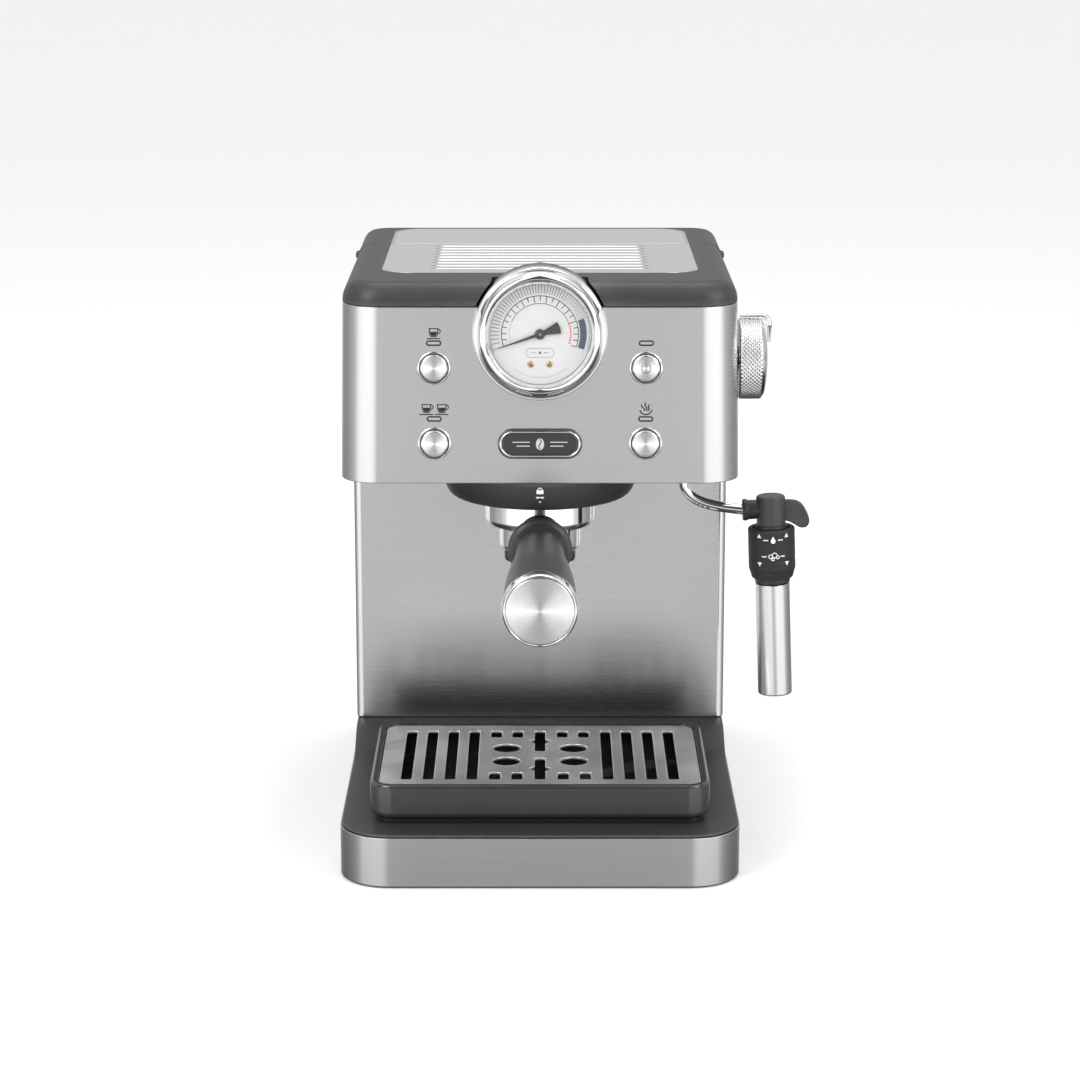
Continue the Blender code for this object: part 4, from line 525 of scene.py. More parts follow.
def roundedLoop(half, front, back, near, far, side=10, corner=10):
    # Rectangle about x = 0 with quarter-circle corners, anticlockwise from the front right corner.
    middles = ((half - near, front + near, near, -90), (half - far, back - far, far, 0),
               (-half + far, back - far, far, 90), (-half + near, front + near, near, 180))
    arcs = []
    for x, y, r, start in middles:
        a = np.radians(start + 90 * np.linspace(0, 1, corner))
        arcs.append(np.stack([x + r * np.cos(a), y + r * np.sin(a)], axis=1))
    loop = []
    for this, after in zip(arcs, arcs[1:] + arcs[:1]):
        loop.append(this)
        s = np.linspace(0, 1, side + 2)[1:-1, None]
        loop.append(this[-1] * (1 - s) + after[0] * s)
    return np.concatenate(loop)


def stackedGrid(loops, heights):
    # Outlines in the XY plane, each lifted to its own height.
    return np.stack([np.column_stack([loop, np.full(len(loop), z)]) for loop, z in zip(loops, heights)])


def uprightGrid(loops, depths):
    # Outlines in the XZ plane, each stood at its own y.
    return stackedGrid(loops, depths)[:, :, [0, 2, 1]]


def uPath(half, front, back, radius, side=14, corner=14):
    # Left side, rounded front corners and right side of a casing that is open at the back.
    a = np.radians(np.linspace(180, 270, corner))
    b = np.radians(np.linspace(270, 360, corner))
    s = np.linspace(0, 1, side)[:, None]
    first = np.stack([-half + radius + radius * np.cos(a), front + radius + radius * np.sin(a)], axis=1)
    last = np.stack([half - radius + radius * np.cos(b), front + radius + radius * np.sin(b)], axis=1)
    left = np.array([-half, back]) * (1 - s[:-1]) + first[0] * s[:-1]
    bridge = first[-1] * (1 - s[1:-1]) + last[0] * s[1:-1]
    right = last[-1] * (1 - s[1:]) + np.array([half, back]) * s[1:]
    return np.concatenate([left, first, bridge, last, right])


def wallPiece(name, loopAt, profile, finish, openEnds, lean=None):
    # A sheet's closed section, (inset, height) points, carried along an outline.
    grid = stackedGrid([loopAt(inset) for inset in profile[:, 0]], profile[:, 1])
    if lean:
        low, high, half, inward = lean
        grid[:, :, 0] *= 1 - (grid[:, :, 2] - low) / (high - low) * inward / half
    bm = bmesh.new()
    gridInto(bm, grid, roundColumns=not openEnds, roundRows=True)
    if openEnds:
        bm.verts.ensure_lookup_table()
        rows, columns = grid.shape[:2]
        bm.faces.new([bm.verts[i * columns] for i in range(rows)])
        bm.faces.new([bm.verts[i * columns + columns - 1] for i in range(rows)])
    bmesh.ops.recalc_face_normals(bm, faces=bm.faces)
    return evenNormals(finishMesh(name, bm, finish))


def sheetSection(low, high, thickness, edge):
    # Section of a metal sheet with rolled edges, as (inset, height).
    corners = [(0, low), (0, high), (thickness, high), (thickness, low)]
    return eased(corners, edge, closed=True, steps=4)


def slabInto(bm, outline, low, high, matrix):
    # A flat outline given thickness, then put in place.
    outline = np.asarray(outline, float)
    for height, order in ((high, 1), (low, -1)):
        ring = [bm.verts.new(matrix @ Vector((x, y, height))) for x, y in outline]
        bm.faces.new(ring[::order])
        if order == 1:
            top = ring
    for i in range(len(outline)):
        k = (i + 1) % len(outline)
        bm.faces.new((ring[i], ring[k], top[k], top[i]))


def slabPiece(name, outlines, low, high, matrix, finish, sharp=32):
    bm = bmesh.new()
    bm.loops.layers.uv.new("surface")
    for outline in outlines:
        slabInto(bm, outline, low, high, matrix)
    bmesh.ops.recalc_face_normals(bm, faces=bm.faces)
    return finishMesh(name, bm, finish, sharp)


def wrappedPiece(name, outlines, radiusAt, lift, thick, matrix, finish):
    # Flat outlines (u, v) wrapped round an upright axis: the angle is u / R(v), the height v, in millimetres.
    bm = bmesh.new()
    bm.loops.layers.uv.new("surface")
    for outline in outlines:
        slabInto(bm, outline, 0, thick, Matrix.Identity(4))
    for vertex in bm.verts:
        u, v, w = vertex.co
        r, a = radiusAt(v) + w + lift, u / radiusAt(v)
        vertex.co = matrix @ (Vector((r * math.sin(a), -r * math.cos(a), v)) * mm)
    bmesh.ops.recalc_face_normals(bm, faces=bm.faces)
    return finishMesh(name, bm, finish)


def stroke(path, width):
    # Outline of a line of even width: each point moved half a width to both sides.
    path = np.asarray(path, float)
    run = np.gradient(path, axis=0)
    run /= np.linalg.norm(run, axis=1)[:, None]
    off = np.stack([-run[:, 1], run[:, 0]], axis=1) * width / 2
    return np.concatenate([path + off, (path - off)[::-1]])


def arcPath(x, y, radius, start, end, steps=None):
    steps = steps or max(4, int(abs(end - start) / 4))
    a = np.radians(np.linspace(start, end, steps))
    return np.stack([x + radius * np.cos(a), y + radius * np.sin(a)], axis=1)


def disc(x, y, radius, sides=20):
    return arcPath(x, y, radius, 0, 360 - 360 / sides, sides)


def stadium(x, y, width, height, steps=12):
    r, run = height / 2, (width - height) / 2
    return np.concatenate([arcPath(x + run, y, r, -90, 90, steps), arcPath(x - run, y, r, 90, 270, steps)])


def holed(piece, cutters, name):
    # Cuts closed shapes out of a piece, and keeps the result as its mesh.
    bm = bmesh.new()
    for grid in cutters:
        gridInto(bm, grid, capFirst=True, capLast=True)
    bmesh.ops.recalc_face_normals(bm, faces=bm.faces)
    mesh = bpy.data.meshes.new(name)
    bm.to_mesh(mesh)
    bm.free()
    cutter = bpy.data.objects.new(name, mesh)
    bpy.context.scene.collection.objects.link(cutter)
    piece.modifiers.clear()
    cut = piece.modifiers.new("cut", "BOOLEAN")
    cut.operation = "DIFFERENCE"
    cut.object = cutter
    bpy.context.view_layer.update()
    graph = bpy.context.evaluated_depsgraph_get()
    made = bpy.data.meshes.new_from_object(piece.evaluated_get(graph))
    piece.modifiers.clear()
    piece.data = made
    bpy.data.objects.remove(cutter)
    made.set_sharp_from_angle(angle=math.radians(32))
    return evenNormals(piece)


def frontCylinder(x, z, radius, front, back, sides=64):
    # A cylinder along Y, for holes in the front.
    return turnedGrid([(radius, 0), (radius, back - front)], (x, back, z), "Y", sides)


def frontFrame(x, y, z):
    # Flat outlines drawn here stand upright and face the front; their thickness runs towards -Y.
    return Matrix.Translation((x, y, z)) @ Matrix.Rotation(math.pi / 2, 4, "X")


# Base

base = {
    "frontCorner": 26 * mm,
    "backCorner": 8 * mm,
    "sheet": 1.2 * mm,
    "edge": 0.5 * mm,
    "trayDip": 0.3 * mm,
    "climbStart": 2 * mm,
    "climbEnd": 8 * mm,
    # (inset, drop) in millimetres; the lowest three stay level all round
    "deckEdge": [(1.0, -1.2), (0.25, -1.2), (0.0, -1.0), (0.0, -0.75), (0.12, -0.42), (0.4, -0.15), (0.9, 0.0),
                 (3.0, 0.0)],
    "levelBelow": -0.9,
}


def makeBase():
    low, high = boxOf("base_band")
    half, front, back = high[0], low[1], high[1]

    def bandLoop(inset):
        near, far = base["frontCorner"] - inset, base["backCorner"] - inset
        return roundedLoop(half - inset, front + inset, back - inset, near, far)

    section = sheetSection(low[2], high[2], base["sheet"], base["edge"])
    band = wallPiece("baseBand", bandLoop, section, "bandSteel", False)
    place(band, "root", "brushed_steel", "base_band")

    # The deck: its height is flat in front and climbs an S-curve to the ledge that the body stands on.
    low, high = boxOf("base_deck")
    trayBack, panel = boxOf("drip_tray")[1][1], boxOf("body_wrap")[0][1]
    flat = boxOf("drip_tray")[0][2] - base["trayDip"]
    start, end = trayBack + base["climbStart"], panel - base["climbEnd"]
    half, front, back = high[0], low[1], high[1]

    def deckLoop(inset):
        # The right edge from front to back, and its mirror image on the way back.
        near, far = base["frontCorner"] - inset, base["backCorner"] - inset
        side = half - inset
        a, b = np.radians(np.linspace(-90, 0, 12)), np.radians(np.linspace(0, 90, 10))
        first = np.stack([side - near + near * np.cos(a), front + inset + near + near * np.sin(a)], axis=1)
        last = np.stack([side - far + far * np.cos(b), back - inset - far + far * np.sin(b)], axis=1)
        t = np.linspace(0, 1, 46)[1:-1, None]
        right = np.concatenate([first, first[-1] * (1 - t) + last[0] * t, last])
        return np.concatenate([right, right[::-1] * [-1, 1]])

    def deckHeight(y):
        t = np.clip((y - start) / (end - start), 0, 1)
        return flat + (high[2] - flat) * t * t * (3 - 2 * t)

    rows = []
    for inset, drop in base["deckEdge"]:
        loop = deckLoop(inset * mm)
        z = (flat if drop < base["levelBelow"] else deckHeight(loop[:, 1])) + drop * mm
        rows.append(np.column_stack([loop, np.broadcast_to(z, len(loop))]))
    edge = np.stack(rows)
    count = edge.shape[1] // 2
    across = np.stack([edge[-1, :count], edge[-1, count:][::-1]], axis=1)
    bm = bmesh.new()
    gridInto(bm, edge, capFirst=True)
    gridInto(bm, across, roundColumns=False)
    bmesh.ops.remove_doubles(bm, verts=bm.verts, dist=2e-7)
    bmesh.ops.recalc_face_normals(bm, faces=bm.faces)
    deck = evenNormals(finishMesh("baseDeck", bm, "deckSatin"))
    place(deck, "root", "dark_plastic", "base_deck")


makeBase()
print("base made")

# Body and head: brushed sheet with rolled edges

casing = {"sheet": 1.2 * mm, "bodyCorner": 4 * mm, "headCorner": 19.5 * mm, "edge": 0.55 * mm, "bezelOverlap": 0.5 * mm}
keys = {
    "holeRoom": 0.6 * mm,
    "ringWidth": 0.75 * mm,
    "slotRoom": 0.5 * mm,
    # (growth, height) round the lamp's outline, in millimetres
    "lampRim": [(0.45, -0.8), (0.6, 0.02), (0.6, 0.1), (0.35, 0.22), (0.0, 0.2), (-0.1, 0.0), (-0.1, -0.8)],
    "lampLens": [(-0.12, -0.9), (-0.12, 0.0), (-0.3, 0.14), (-0.55, 0.2)],
    "cupLift": 5.2,
    "cupApart": 3.9,
    "steamLift": 5.0,
}


def buttonPlaces():
    found = {}
    for name in ("single_cup", "double_cup", "power", "steam"):
        low, high = boxOf(name + "_button")
        lampLow, lampHigh = boxOf(name + "_lamp")
        found[name] = {
            "x": (low[0] + high[0]) / 2,
            "z": (low[2] + high[2]) / 2,
            "radius": (high[2] - low[2]) / 2,
            "lamp": (lampLow[2] + lampHigh[2]) / 2,
            "lampSize": (lampHigh[0] - lampLow[0], lampHigh[2] - lampLow[2]),
            "front": low[1],
        }
    return found


def makeCasing():
    low, high = boxOf("body_wrap")

    def bodyPath(inset):
        return uPath(high[0] - inset, low[1] + inset, high[1], casing["bodyCorner"] - inset)

    section = sheetSection(low[2], high[2], casing["sheet"], casing["edge"])
    wrap = wallPiece("bodyWrap", bodyPath, section, "brushedSteel", True)
    place(wrap, "root", "brushed_steel", "body_wrap")

    low, high = boxOf("head_shell")
    halfTop = boxOf("top_frame")[1][0]

    def headPath(inset):
        return uPath(high[0] - inset, low[1] + inset, high[1], casing["headCorner"] - inset, 14, 20)

    section = sheetSection(low[2], high[2], casing["sheet"], casing["edge"])
    lean = (low[2], high[2], high[0], high[0] - halfTop)
    shell = wallPiece("headShell", headPath, section, "brushedSteel", True, lean)
    gaugeLow, gaugeHigh = boxOf("gauge_bezel")
    middleZ, radius = (gaugeLow[2] + gaugeHigh[2]) / 2, (gaugeHigh[0] - gaugeLow[0]) / 2
    near, far = low[1] - 4 * mm, low[1] + 6 * mm
    cutters = [frontCylinder(0, middleZ, radius - casing["bezelOverlap"], near, far, 96)]
    for spot in buttonPlaces().values():
        cutters.append(frontCylinder(spot["x"], spot["z"], spot["radius"] + keys["holeRoom"], near, far))
        wide, tall = (size + 2 * keys["slotRoom"] for size in spot["lampSize"])
        loop = stadium(spot["x"], spot["lamp"], wide, tall)
        cutters.append(uprightGrid([loop, loop], (near, far)))
    place(holed(shell, cutters, "shellHoles"), "root", "brushed_steel", "head_shell")


makeCasing()
print("casing made")

# Top frame, cup plate and tank lid

top = {
    "frontCorner": 19.5 * mm,
    "backCorner": 12 * mm,
    "seamCorner": 0.8 * mm,
    # (inset, rise) from the underside up the side, in millimetres
    "slope": [(12.0, 4.0), (11.0, 0.0), (0.15, 0.0), (0.0, 0.25), (0.05, 2.2), (0.45, 4.6),
              (1.5, 7.2), (3.2, 9.4), (5.4, 10.9), (7.6, 11.5), (9.8, 11.7)],
    "plateCorner": 16 * mm,
    "plateSeamCorner": 0.6 * mm,
    # (room round the plate, drop) of the recess and its floor, in millimetres
    "plateEdge": [(1.3, 0.0), (0.7, -0.08), (0.35, -0.35), (0.3, -1.4), (-8.0, -1.4)],
    "seamRoom": 0.12 * mm,
    "notchRoom": 1 * mm,
    "ribs": 9,
    "ribPitch": 10.8 * mm,
    "ribField": 55.5 * mm,
    "ribDepth": 0.6 * mm,
    "ribFirst": 4.2 * mm,
    "ribSlant": 1.6 * mm,
    "earRise": 1.5 * mm,
    "earHeight": 4.5 * mm,
    "earHalf": (3.2 * mm, 4.4 * mm),
    "earCorner": 1.2 * mm,
    "earInset": 2.2 * mm,
    "earBack": 14.5 * mm,
    "hingeSlot": 8.5 * mm,
    "hingeReach": 9 * mm,
}


def topBlock(name, node, front, back, corners, plateBox, plateEnds, leanFront):
    # Convex sloping sides up to the flat top, then a recess whose floor carries the steel plate.
    low, high = boxOf(node)
    half, near, far = high[0], *corners
    rows, heights = [], []
    for inset, rise in top["slope"]:
        d = inset * mm
        ahead, behind = (d, 0) if leanFront else (0, d)
        radii = max(near - d, 0.6 * mm), max(far - 0.5 * d, 0.6 * mm)
        rows.append(roundedLoop(half - d, front + ahead, back - behind, *radii, 12, 14))
        heights.append(low[2] + rise * mm)
    plateLow, plateHigh = plateBox
    for room, drop in top["plateEdge"]:
        d = room * mm
        frontRoom, backRoom = (d, top["seamRoom"]) if leanFront else (top["seamRoom"], d)
        start, end = plateLow[1] - min(frontRoom, d), plateHigh[1] + min(backRoom, d)
        radii = [max(radius + d, 0.5 * mm) for radius in plateEnds]
        rows.append(roundedLoop(plateHigh[0] + d, start, end, *radii, 12, 14))
        heights.append(high[2] + drop * mm)
    return surfacePiece(name, stackedGrid(rows, heights), "darkSatin", 40, capFirst=True, capLast=True)


def plateGrid(low, high, near, far, rows, columns, height):
    # x = s w(y), where w is the half width of the rounded plate at y, and z = height(x, y).
    t = np.linspace(0, 1, rows)
    y = low[1] + (high[1] - low[1]) * t
    w = np.full(rows, high[0])
    nearPart, farPart = y < low[1] + near, y > high[1] - far
    w[nearPart] = high[0] - near + np.sqrt(np.maximum(near**2 - (low[1] + near - y[nearPart]) ** 2, 0))
    w[farPart] = high[0] - far + np.sqrt(np.maximum(far**2 - (y[farPart] - high[1] + far) ** 2, 0))
    s = np.linspace(-1, 1, columns)
    x = w[:, None] * s[None, :]
    yy = np.repeat(y[:, None], columns, axis=1)
    return np.stack([x, yy, height(x, yy)], axis=2)


def platePiece(name, low, high, near, far, rows, columns, height, finish):
    bm = bmesh.new()
    gridInto(bm, plateGrid(low, high, near, far, rows, columns, height), roundColumns=False)
    for face in bm.faces:
        if face.normal.z < 0:
            face.normal_flip()
    piece = finishMesh(name, bm, finish, 50)
    thick = piece.modifiers.new("sheet", "SOLIDIFY")
    thick.thickness = 0.9 * mm
    thick.offset = -1
    return piece


def makeTop():
    frameLow, frameHigh = boxOf("top_frame")
    cupPlate, lidPlate = boxOf("cup_warmer_plate"), boxOf("tank_lid_plate")
    corners, plateCorners = (top["frontCorner"], top["seamCorner"]), (top["plateCorner"], top["plateSeamCorner"])
    body = topBlock("topFrame", "top_frame", frameLow[1], frameHigh[1], corners, cupPlate, plateCorners, True)
    bezelLow, bezelHigh = boxOf("gauge_bezel")
    radius, middle = (bezelHigh[0] - bezelLow[0]) / 2, (bezelLow[2] + bezelHigh[2]) / 2
    notch = frontCylinder(0, middle, radius + top["notchRoom"], frameLow[1] - 5 * mm, frameLow[1] + 23 * mm, 128)
    place(holed(body, [notch], "gaugeNotch"), "root", "dark_plastic", "top_frame")

    low, high = cupPlate
    field, pitch = top["ribField"], top["ribPitch"]

    def ribs(x, y):
        # Valleys between raised ribs: a smooth wave along y, faded out past the ends of the field.
        phase = (high[1] - top["ribFirst"] - y) / pitch
        inside = (phase > -0.1) & (phase < top["ribs"] - 0.45)
        slant = top["ribSlant"] * (phase - np.floor(phase))
        ends = np.clip((field + slant - np.abs(x)) / (1.2 * mm), 0, 1)
        share = np.clip((0.40 - np.abs(phase - np.round(phase))) / 0.16, 0, 1)
        return high[2] - top["ribDepth"] * inside * ends * (1 - share * share * (3 - 2 * share))

    plate = platePiece("cupPlate", low, high, top["plateCorner"], 0.7 * mm, 420, 100, ribs, "plateSteel")
    place(plate, "root", "brushed_steel", "cup_warmer_plate")

    lidLow, lidHigh = boxOf("tank_lid")
    corners = (top["seamCorner"], top["backCorner"])
    lid = topBlock("tankLid", "tank_lid", lidLow[1], lidHigh[1], corners, lidPlate, plateCorners[::-1], False)
    pinLow, pinHigh = boxOf("lid_hinge_pin")
    tankHigh = boxOf("water_tank")[1]
    slots = []
    for side in (-1, 1):
        inner, outer = side * (pinHigh[0] - top["hingeSlot"]), side * (pinHigh[0] + 0.5 * mm)
        left, right = min(inner, outer), max(inner, outer)
        ring = roundedLoop((right - left) / 2, pinLow[1] - top["hingeReach"], lidHigh[1] + 5 * mm, 1 * mm, 1 * mm, 2, 4)
        ring[:, 0] += (left + right) / 2
        slots.append(stackedGrid([ring, ring], [lidLow[2] - 3 * mm, tankHigh[2] + 0.5 * mm]))
    place(holed(lid, slots, "hingeSlots"), "lid", "dark_plastic", "tank_lid")
    def level(x, y):
        return np.full_like(x, lidPlate[1][2])

    flat = platePiece("lidPlate", *lidPlate, 0.7 * mm, top["plateCorner"], 60, 40, level, "plateSteel")
    place(flat, "lid", "brushed_steel", "tank_lid_plate")

    # Finger ears at the lid's sides: a small rounded block that swells from the slope.
    (halfWide, halfLong), corner = top["earHalf"], top["earCorner"]
    for side, label in sides:
        spread = []
        for share in np.linspace(-1, 1, 9):
            swell = math.sqrt(max(0.0, 1 - share**4))
            ring = roundedLoop(halfWide, -halfLong * swell, halfLong * swell, corner * swell, corner * swell, 3, 5)
            ring[:, 0] = ring[:, 0] * (0.35 + 0.65 * swell) + side * (lidHigh[0] - top["earInset"])
            ring[:, 1] += lidLow[1] + top["earBack"]
            spread.append(ring)
        heights = lidLow[2] + top["earRise"] + np.linspace(0, top["earHeight"], len(spread))
        ear = surfacePiece("lidEar" + label, stackedGrid(spread, heights), "darkSatin", 60, capFirst=True, capLast=True)
        place(ear, "lid", "dark_plastic")


makeTop()
print("top made")

# Pressure gauge. Heights are in front of the head.

gauge = {
    # (radius, height) in millimetres, and how far each corner is rounded
    "bezel": [(34.1, 0.3), (34.1, 4.3), (33.5, 5.6), (32.8, 5.5), (32.6, 6.3), (31.7, 9.2), (30.4, 11.2), (28.9, 12.0),
              (27.4, 11.2), (26.1, 9.2), (25.75, 8.3), (25.9, 4.3), (26.9, 4.3), (27.2, 6.4), (33.4, 6.0), (33.4, 0.3)],
    "rounds": [0, 1.0, 0.5, 0.3, 0.4, 2.2, 1.6, 1.6, 1.4, 0.6, 0.3, 0.1, 0, 0, 0, 0],
    "window": 25.6 * mm,
    "face": 4.2,
    "dialRadius": 25.85,
    "dialThick": 0.9,
    "screwX": 4.7 * mm,
    "screwDrop": 15.5 * mm,
    "screwTurn": 25,
    "needleRest": 199,
    "needleReach": 22.6,
    "needleTail": 10.6,
    "needleBoss": 2.6,
    "needleRoom": 0.95,
    "needleThick": 0.5,
    "scale": (199, -20),
    "dotRadius": 15.5,
    "emblemDrop": -9.6,
}


def gaugeMarks():
    # Scale marks as (finish, outlines), in millimetres about the dial's centre.
    start, end = gauge["scale"]

    def spoke(angle, inner, outer, width):
        c, s = math.cos(math.radians(angle)), math.sin(math.radians(angle))
        return stroke([(inner * c, inner * s), (outer * c, outer * s)], width)

    def dots(angles, radius, count):
        path = [(gauge["dotRadius"] * math.cos(a), gauge["dotRadius"] * math.sin(a)) for a in np.radians(angles)]
        return [disc(x, y, radius, count) for x, y in path]

    grey = []
    for t in np.linspace(0, 1, 46):
        angle = start - (start - 21) * t**0.86
        grey.append(spoke(angle, 20.6, 24.9, 0.36 if t < 0.8 else 0.22))
    grey.append(stroke(arcPath(0, 0, 25.1, -20, 203), 0.18))
    black = [stroke(arcPath(0, 0, 19.4, end, start), 0.4), stroke(arcPath(0, 0, 15.5, 22, 158), 0.3)]
    steps = 22
    for i in range(steps + 1):
        angle = start - (start - end) * i / steps
        inner = 15.9 if i % 2 == 0 and 4 < i < 19 else 16.9
        black.append(spoke(angle, 17.0 if i % 2 else inner, 19.4, 0.42))
    grey += dots(np.arange(163, 199, 3.6), 0.22, 10)
    red = dots(np.arange(-17, 20, 5.2), 0.5, 12)
    blue = [stroke(arcPath(0, 0, 21.9, -20, 19.7), 3.3)]
    y = gauge["emblemDrop"]
    emblem = stadium(0, y, 14.2, 4.6, 10)
    grey.append(stroke(np.concatenate([emblem, emblem[:2]]), 0.22))
    grey += [stroke([(-4.4, y), (-1.7, y)], 0.3), stroke([(1.7, y), (4.4, y)], 0.3), disc(0, y, 0.75, 16)]
    grey.append(stroke(arcPath(0, 0, 22.2, -128, -52), 0.12))
    return {"printGrey": grey, "printBlack": black, "printRed": red, "printBlue": blue}


def makeGauge():
    low, high = boxOf("gauge_bezel")
    head = boxOf("head_shell")[0][1]
    centre = (0, head, (low[2] + high[2]) / 2)
    scale = (high[0] - low[0]) / 2 / (gauge["bezel"][0][0] * mm)
    section = eased(gauge["bezel"], gauge["rounds"], steps=7) * mm * scale
    bezel = turnedPiece("gaugeBezel", section, centre, "chrome", "Y", 160, ring=True, sharp=40)
    place(bezel, "root", "chrome", "gauge_bezel")
    glassLow, glassHigh = boxOf("gauge_glass")
    window, front, back = gauge["window"], head - glassLow[1], head - glassHigh[1]
    pane = [(0, back + 0.2 * mm), (window, back + 0.2 * mm), (window, front - 0.5 * mm), (0, front)]
    glass = turnedPiece("gaugeGlass", eased(pane, [0, 0.1 * mm, 0.2 * mm, 0]), centre, "glassClear", "Y", 96)
    place(glass, "root", "lens", "gauge_glass")
    face, rim, under = gauge["face"], gauge["dialRadius"], gauge["face"] - gauge["dialThick"]
    plate = easedMm([(0, face), (rim, face), (rim, under), (0, under)], [0, 0.15, 0.1, 0])
    place(turnedPiece("gaugeDial", plate, centre, "dialWhite", "Y", 96), "root", "dial", "gauge_dial")
    matrix = frontFrame(*centre) @ Matrix.Scale(mm, 4)
    for index, (finish, outlines) in enumerate(gaugeMarks().items()):
        marks = slabPiece("dialMarks" + str(index + 1), outlines, face + 0.01, face + 0.06, matrix, finish)
        place(marks, "root", "black_plastic")

    # Two little screws hold the dial: a domed head, with a thin black bar on it as painted shade for the slot.
    dome = raised([(0, 0.75), (0.9, 0.68), (1.5, 0.4), (1.75, 0.02), (0, 0.02)], face)
    for side, label in sides:
        spot = (side * gauge["screwX"], head, centre[2] - gauge["screwDrop"])
        place(turnedPiece("dialScrew" + label, easedMm(dome, 0.3), spot, "brass", "Y", 32), "root", "brass")
        turn = Matrix.Rotation(math.radians(gauge["screwTurn"] * side), 4, "Z") @ Matrix.Scale(mm, 4)
        # The slot is not cut into the dome: this black bar is painted shade where the slot's groove would be.
        cut = [stroke([(-1.3, 0), (1.3, 0)], 0.4)]
        bar = slabPiece("screwSlotShade" + label, cut, face + 0.5, face + 0.78, frontFrame(*spot) @ turn, "printBlack")
        place(bar, "root", "black_plastic")

    # Needle: a long blade, a round boss and a fan-shaped tail.
    reach, boss, tail = gauge["needleReach"], gauge["needleBoss"], gauge["needleTail"]
    blade = [(reach, 0.12), (3.0, 0.75), *arcPath(0, 0, boss, 30, 154, 12), *arcPath(0, 0, tail, 163, 197, 9),
             *arcPath(0, 0, boss, 206, 330, 12), (3.0, -0.75), (reach, -0.12)]
    turn = matrix @ Matrix.Rotation(math.radians(gauge["needleRest"]), 4, "Z")
    low = face + gauge["needleRoom"]
    needle = slabPiece("gaugeNeedle", [blade], low, low + gauge["needleThick"], turn, "printBlack")
    needle.modifiers.new("edges", "BEVEL").width = 0.08 * mm
    place(needle, "needle", "black_plastic", "gauge_needle")
    cap = raised([(0, 2.35), (0.7, 2.3), (0.9, 2.0), (1.9, 1.95), (2.5, 1.7), (2.7, 1.2), (2.7, 0.7), (0, 0.7)], face)
    place(turnedPiece("needleCap", easedMm(cap, 0.15), centre, "blackPlastic", "Y", 48), "needle", "black_plastic")
    pin = raised([(0, 2.75), (0.45, 2.65), (0.62, 2.3), (0.62, 2.1), (0, 2.1)], face)
    place(turnedPiece("needlePin", easedMm(pin, 0.12), centre, "brass", "Y", 24), "needle", "brass")


makeGauge()
print("gauge made")

# Buttons, lamps, pictograms and badge

badge = {
    "rim": 2.1,
    "edge": 0.75,
    "plateDrop": 1.1,
    "bean": (2.1, 3.0),
    "barStart": 5.2,
    "bars": ((1.0, 14.0), (-1.0, 12.0)),  # height and end of each
}
printing = {"lift": 0.015, "thick": 0.05}


def cupIcon(x, z):
    # A cup seen from the side, in millimetres: bowl, coffee, handle and saucer.
    bowl = stroke([(-2.2, 2.2), (-2.0, -0.5), (-1.3, -1.9), (1.3, -1.9), (2.0, -0.5), (2.2, 2.2)], 0.55)
    rim = stroke([(-2.4, 2.2), (2.4, 2.2)], 0.5)
    coffee = [(-1.7, 0.6), (1.7, 0.6), (1.6, -0.5), (1.1, -1.5), (-1.1, -1.5), (-1.6, -0.5)]
    handle = stroke(arcPath(2.25, 0.9, 1.15, -80, 85, 14), 0.5)
    saucer = stroke([(-3.5, -2.9), (3.3, -2.9)], 0.55)
    return [np.asarray(part) + (x, z) for part in (bowl, rim, coffee, handle, saucer)]


def steamIcon(x, z):
    # Three jets that rise from a curved dish.
    t = np.linspace(0, 1, 14)
    jets = []
    for side in (-1, 0, 1):
        sway = 0.35 * np.sin(2 * math.pi * t)
        lean = side * (0.7 + 0.9 * t)
        jets.append(stroke(np.stack([lean + sway, -0.6 + (3.4 if side == 0 else 2.5) * t], axis=1), 0.5))
    dish = stroke(arcPath(0, 0.3, 2.5, 205, 335, 20), 0.5)
    lip = [disc(-2.3, -0.6, 0.34, 12), disc(2.3, -0.6, 0.34, 12)]
    return [np.asarray(part) * 1.25 + (x, z) for part in [*jets, dish, *lip]]


def powerIcon(x, z):
    ring = stroke(arcPath(0, 0, 2.3, 125, 415, 40), 0.42)
    bar = stroke([(0, 0.9), (0, 2.9)], 0.42)
    return [np.asarray(part) + (x, z) for part in (ring, bar)]


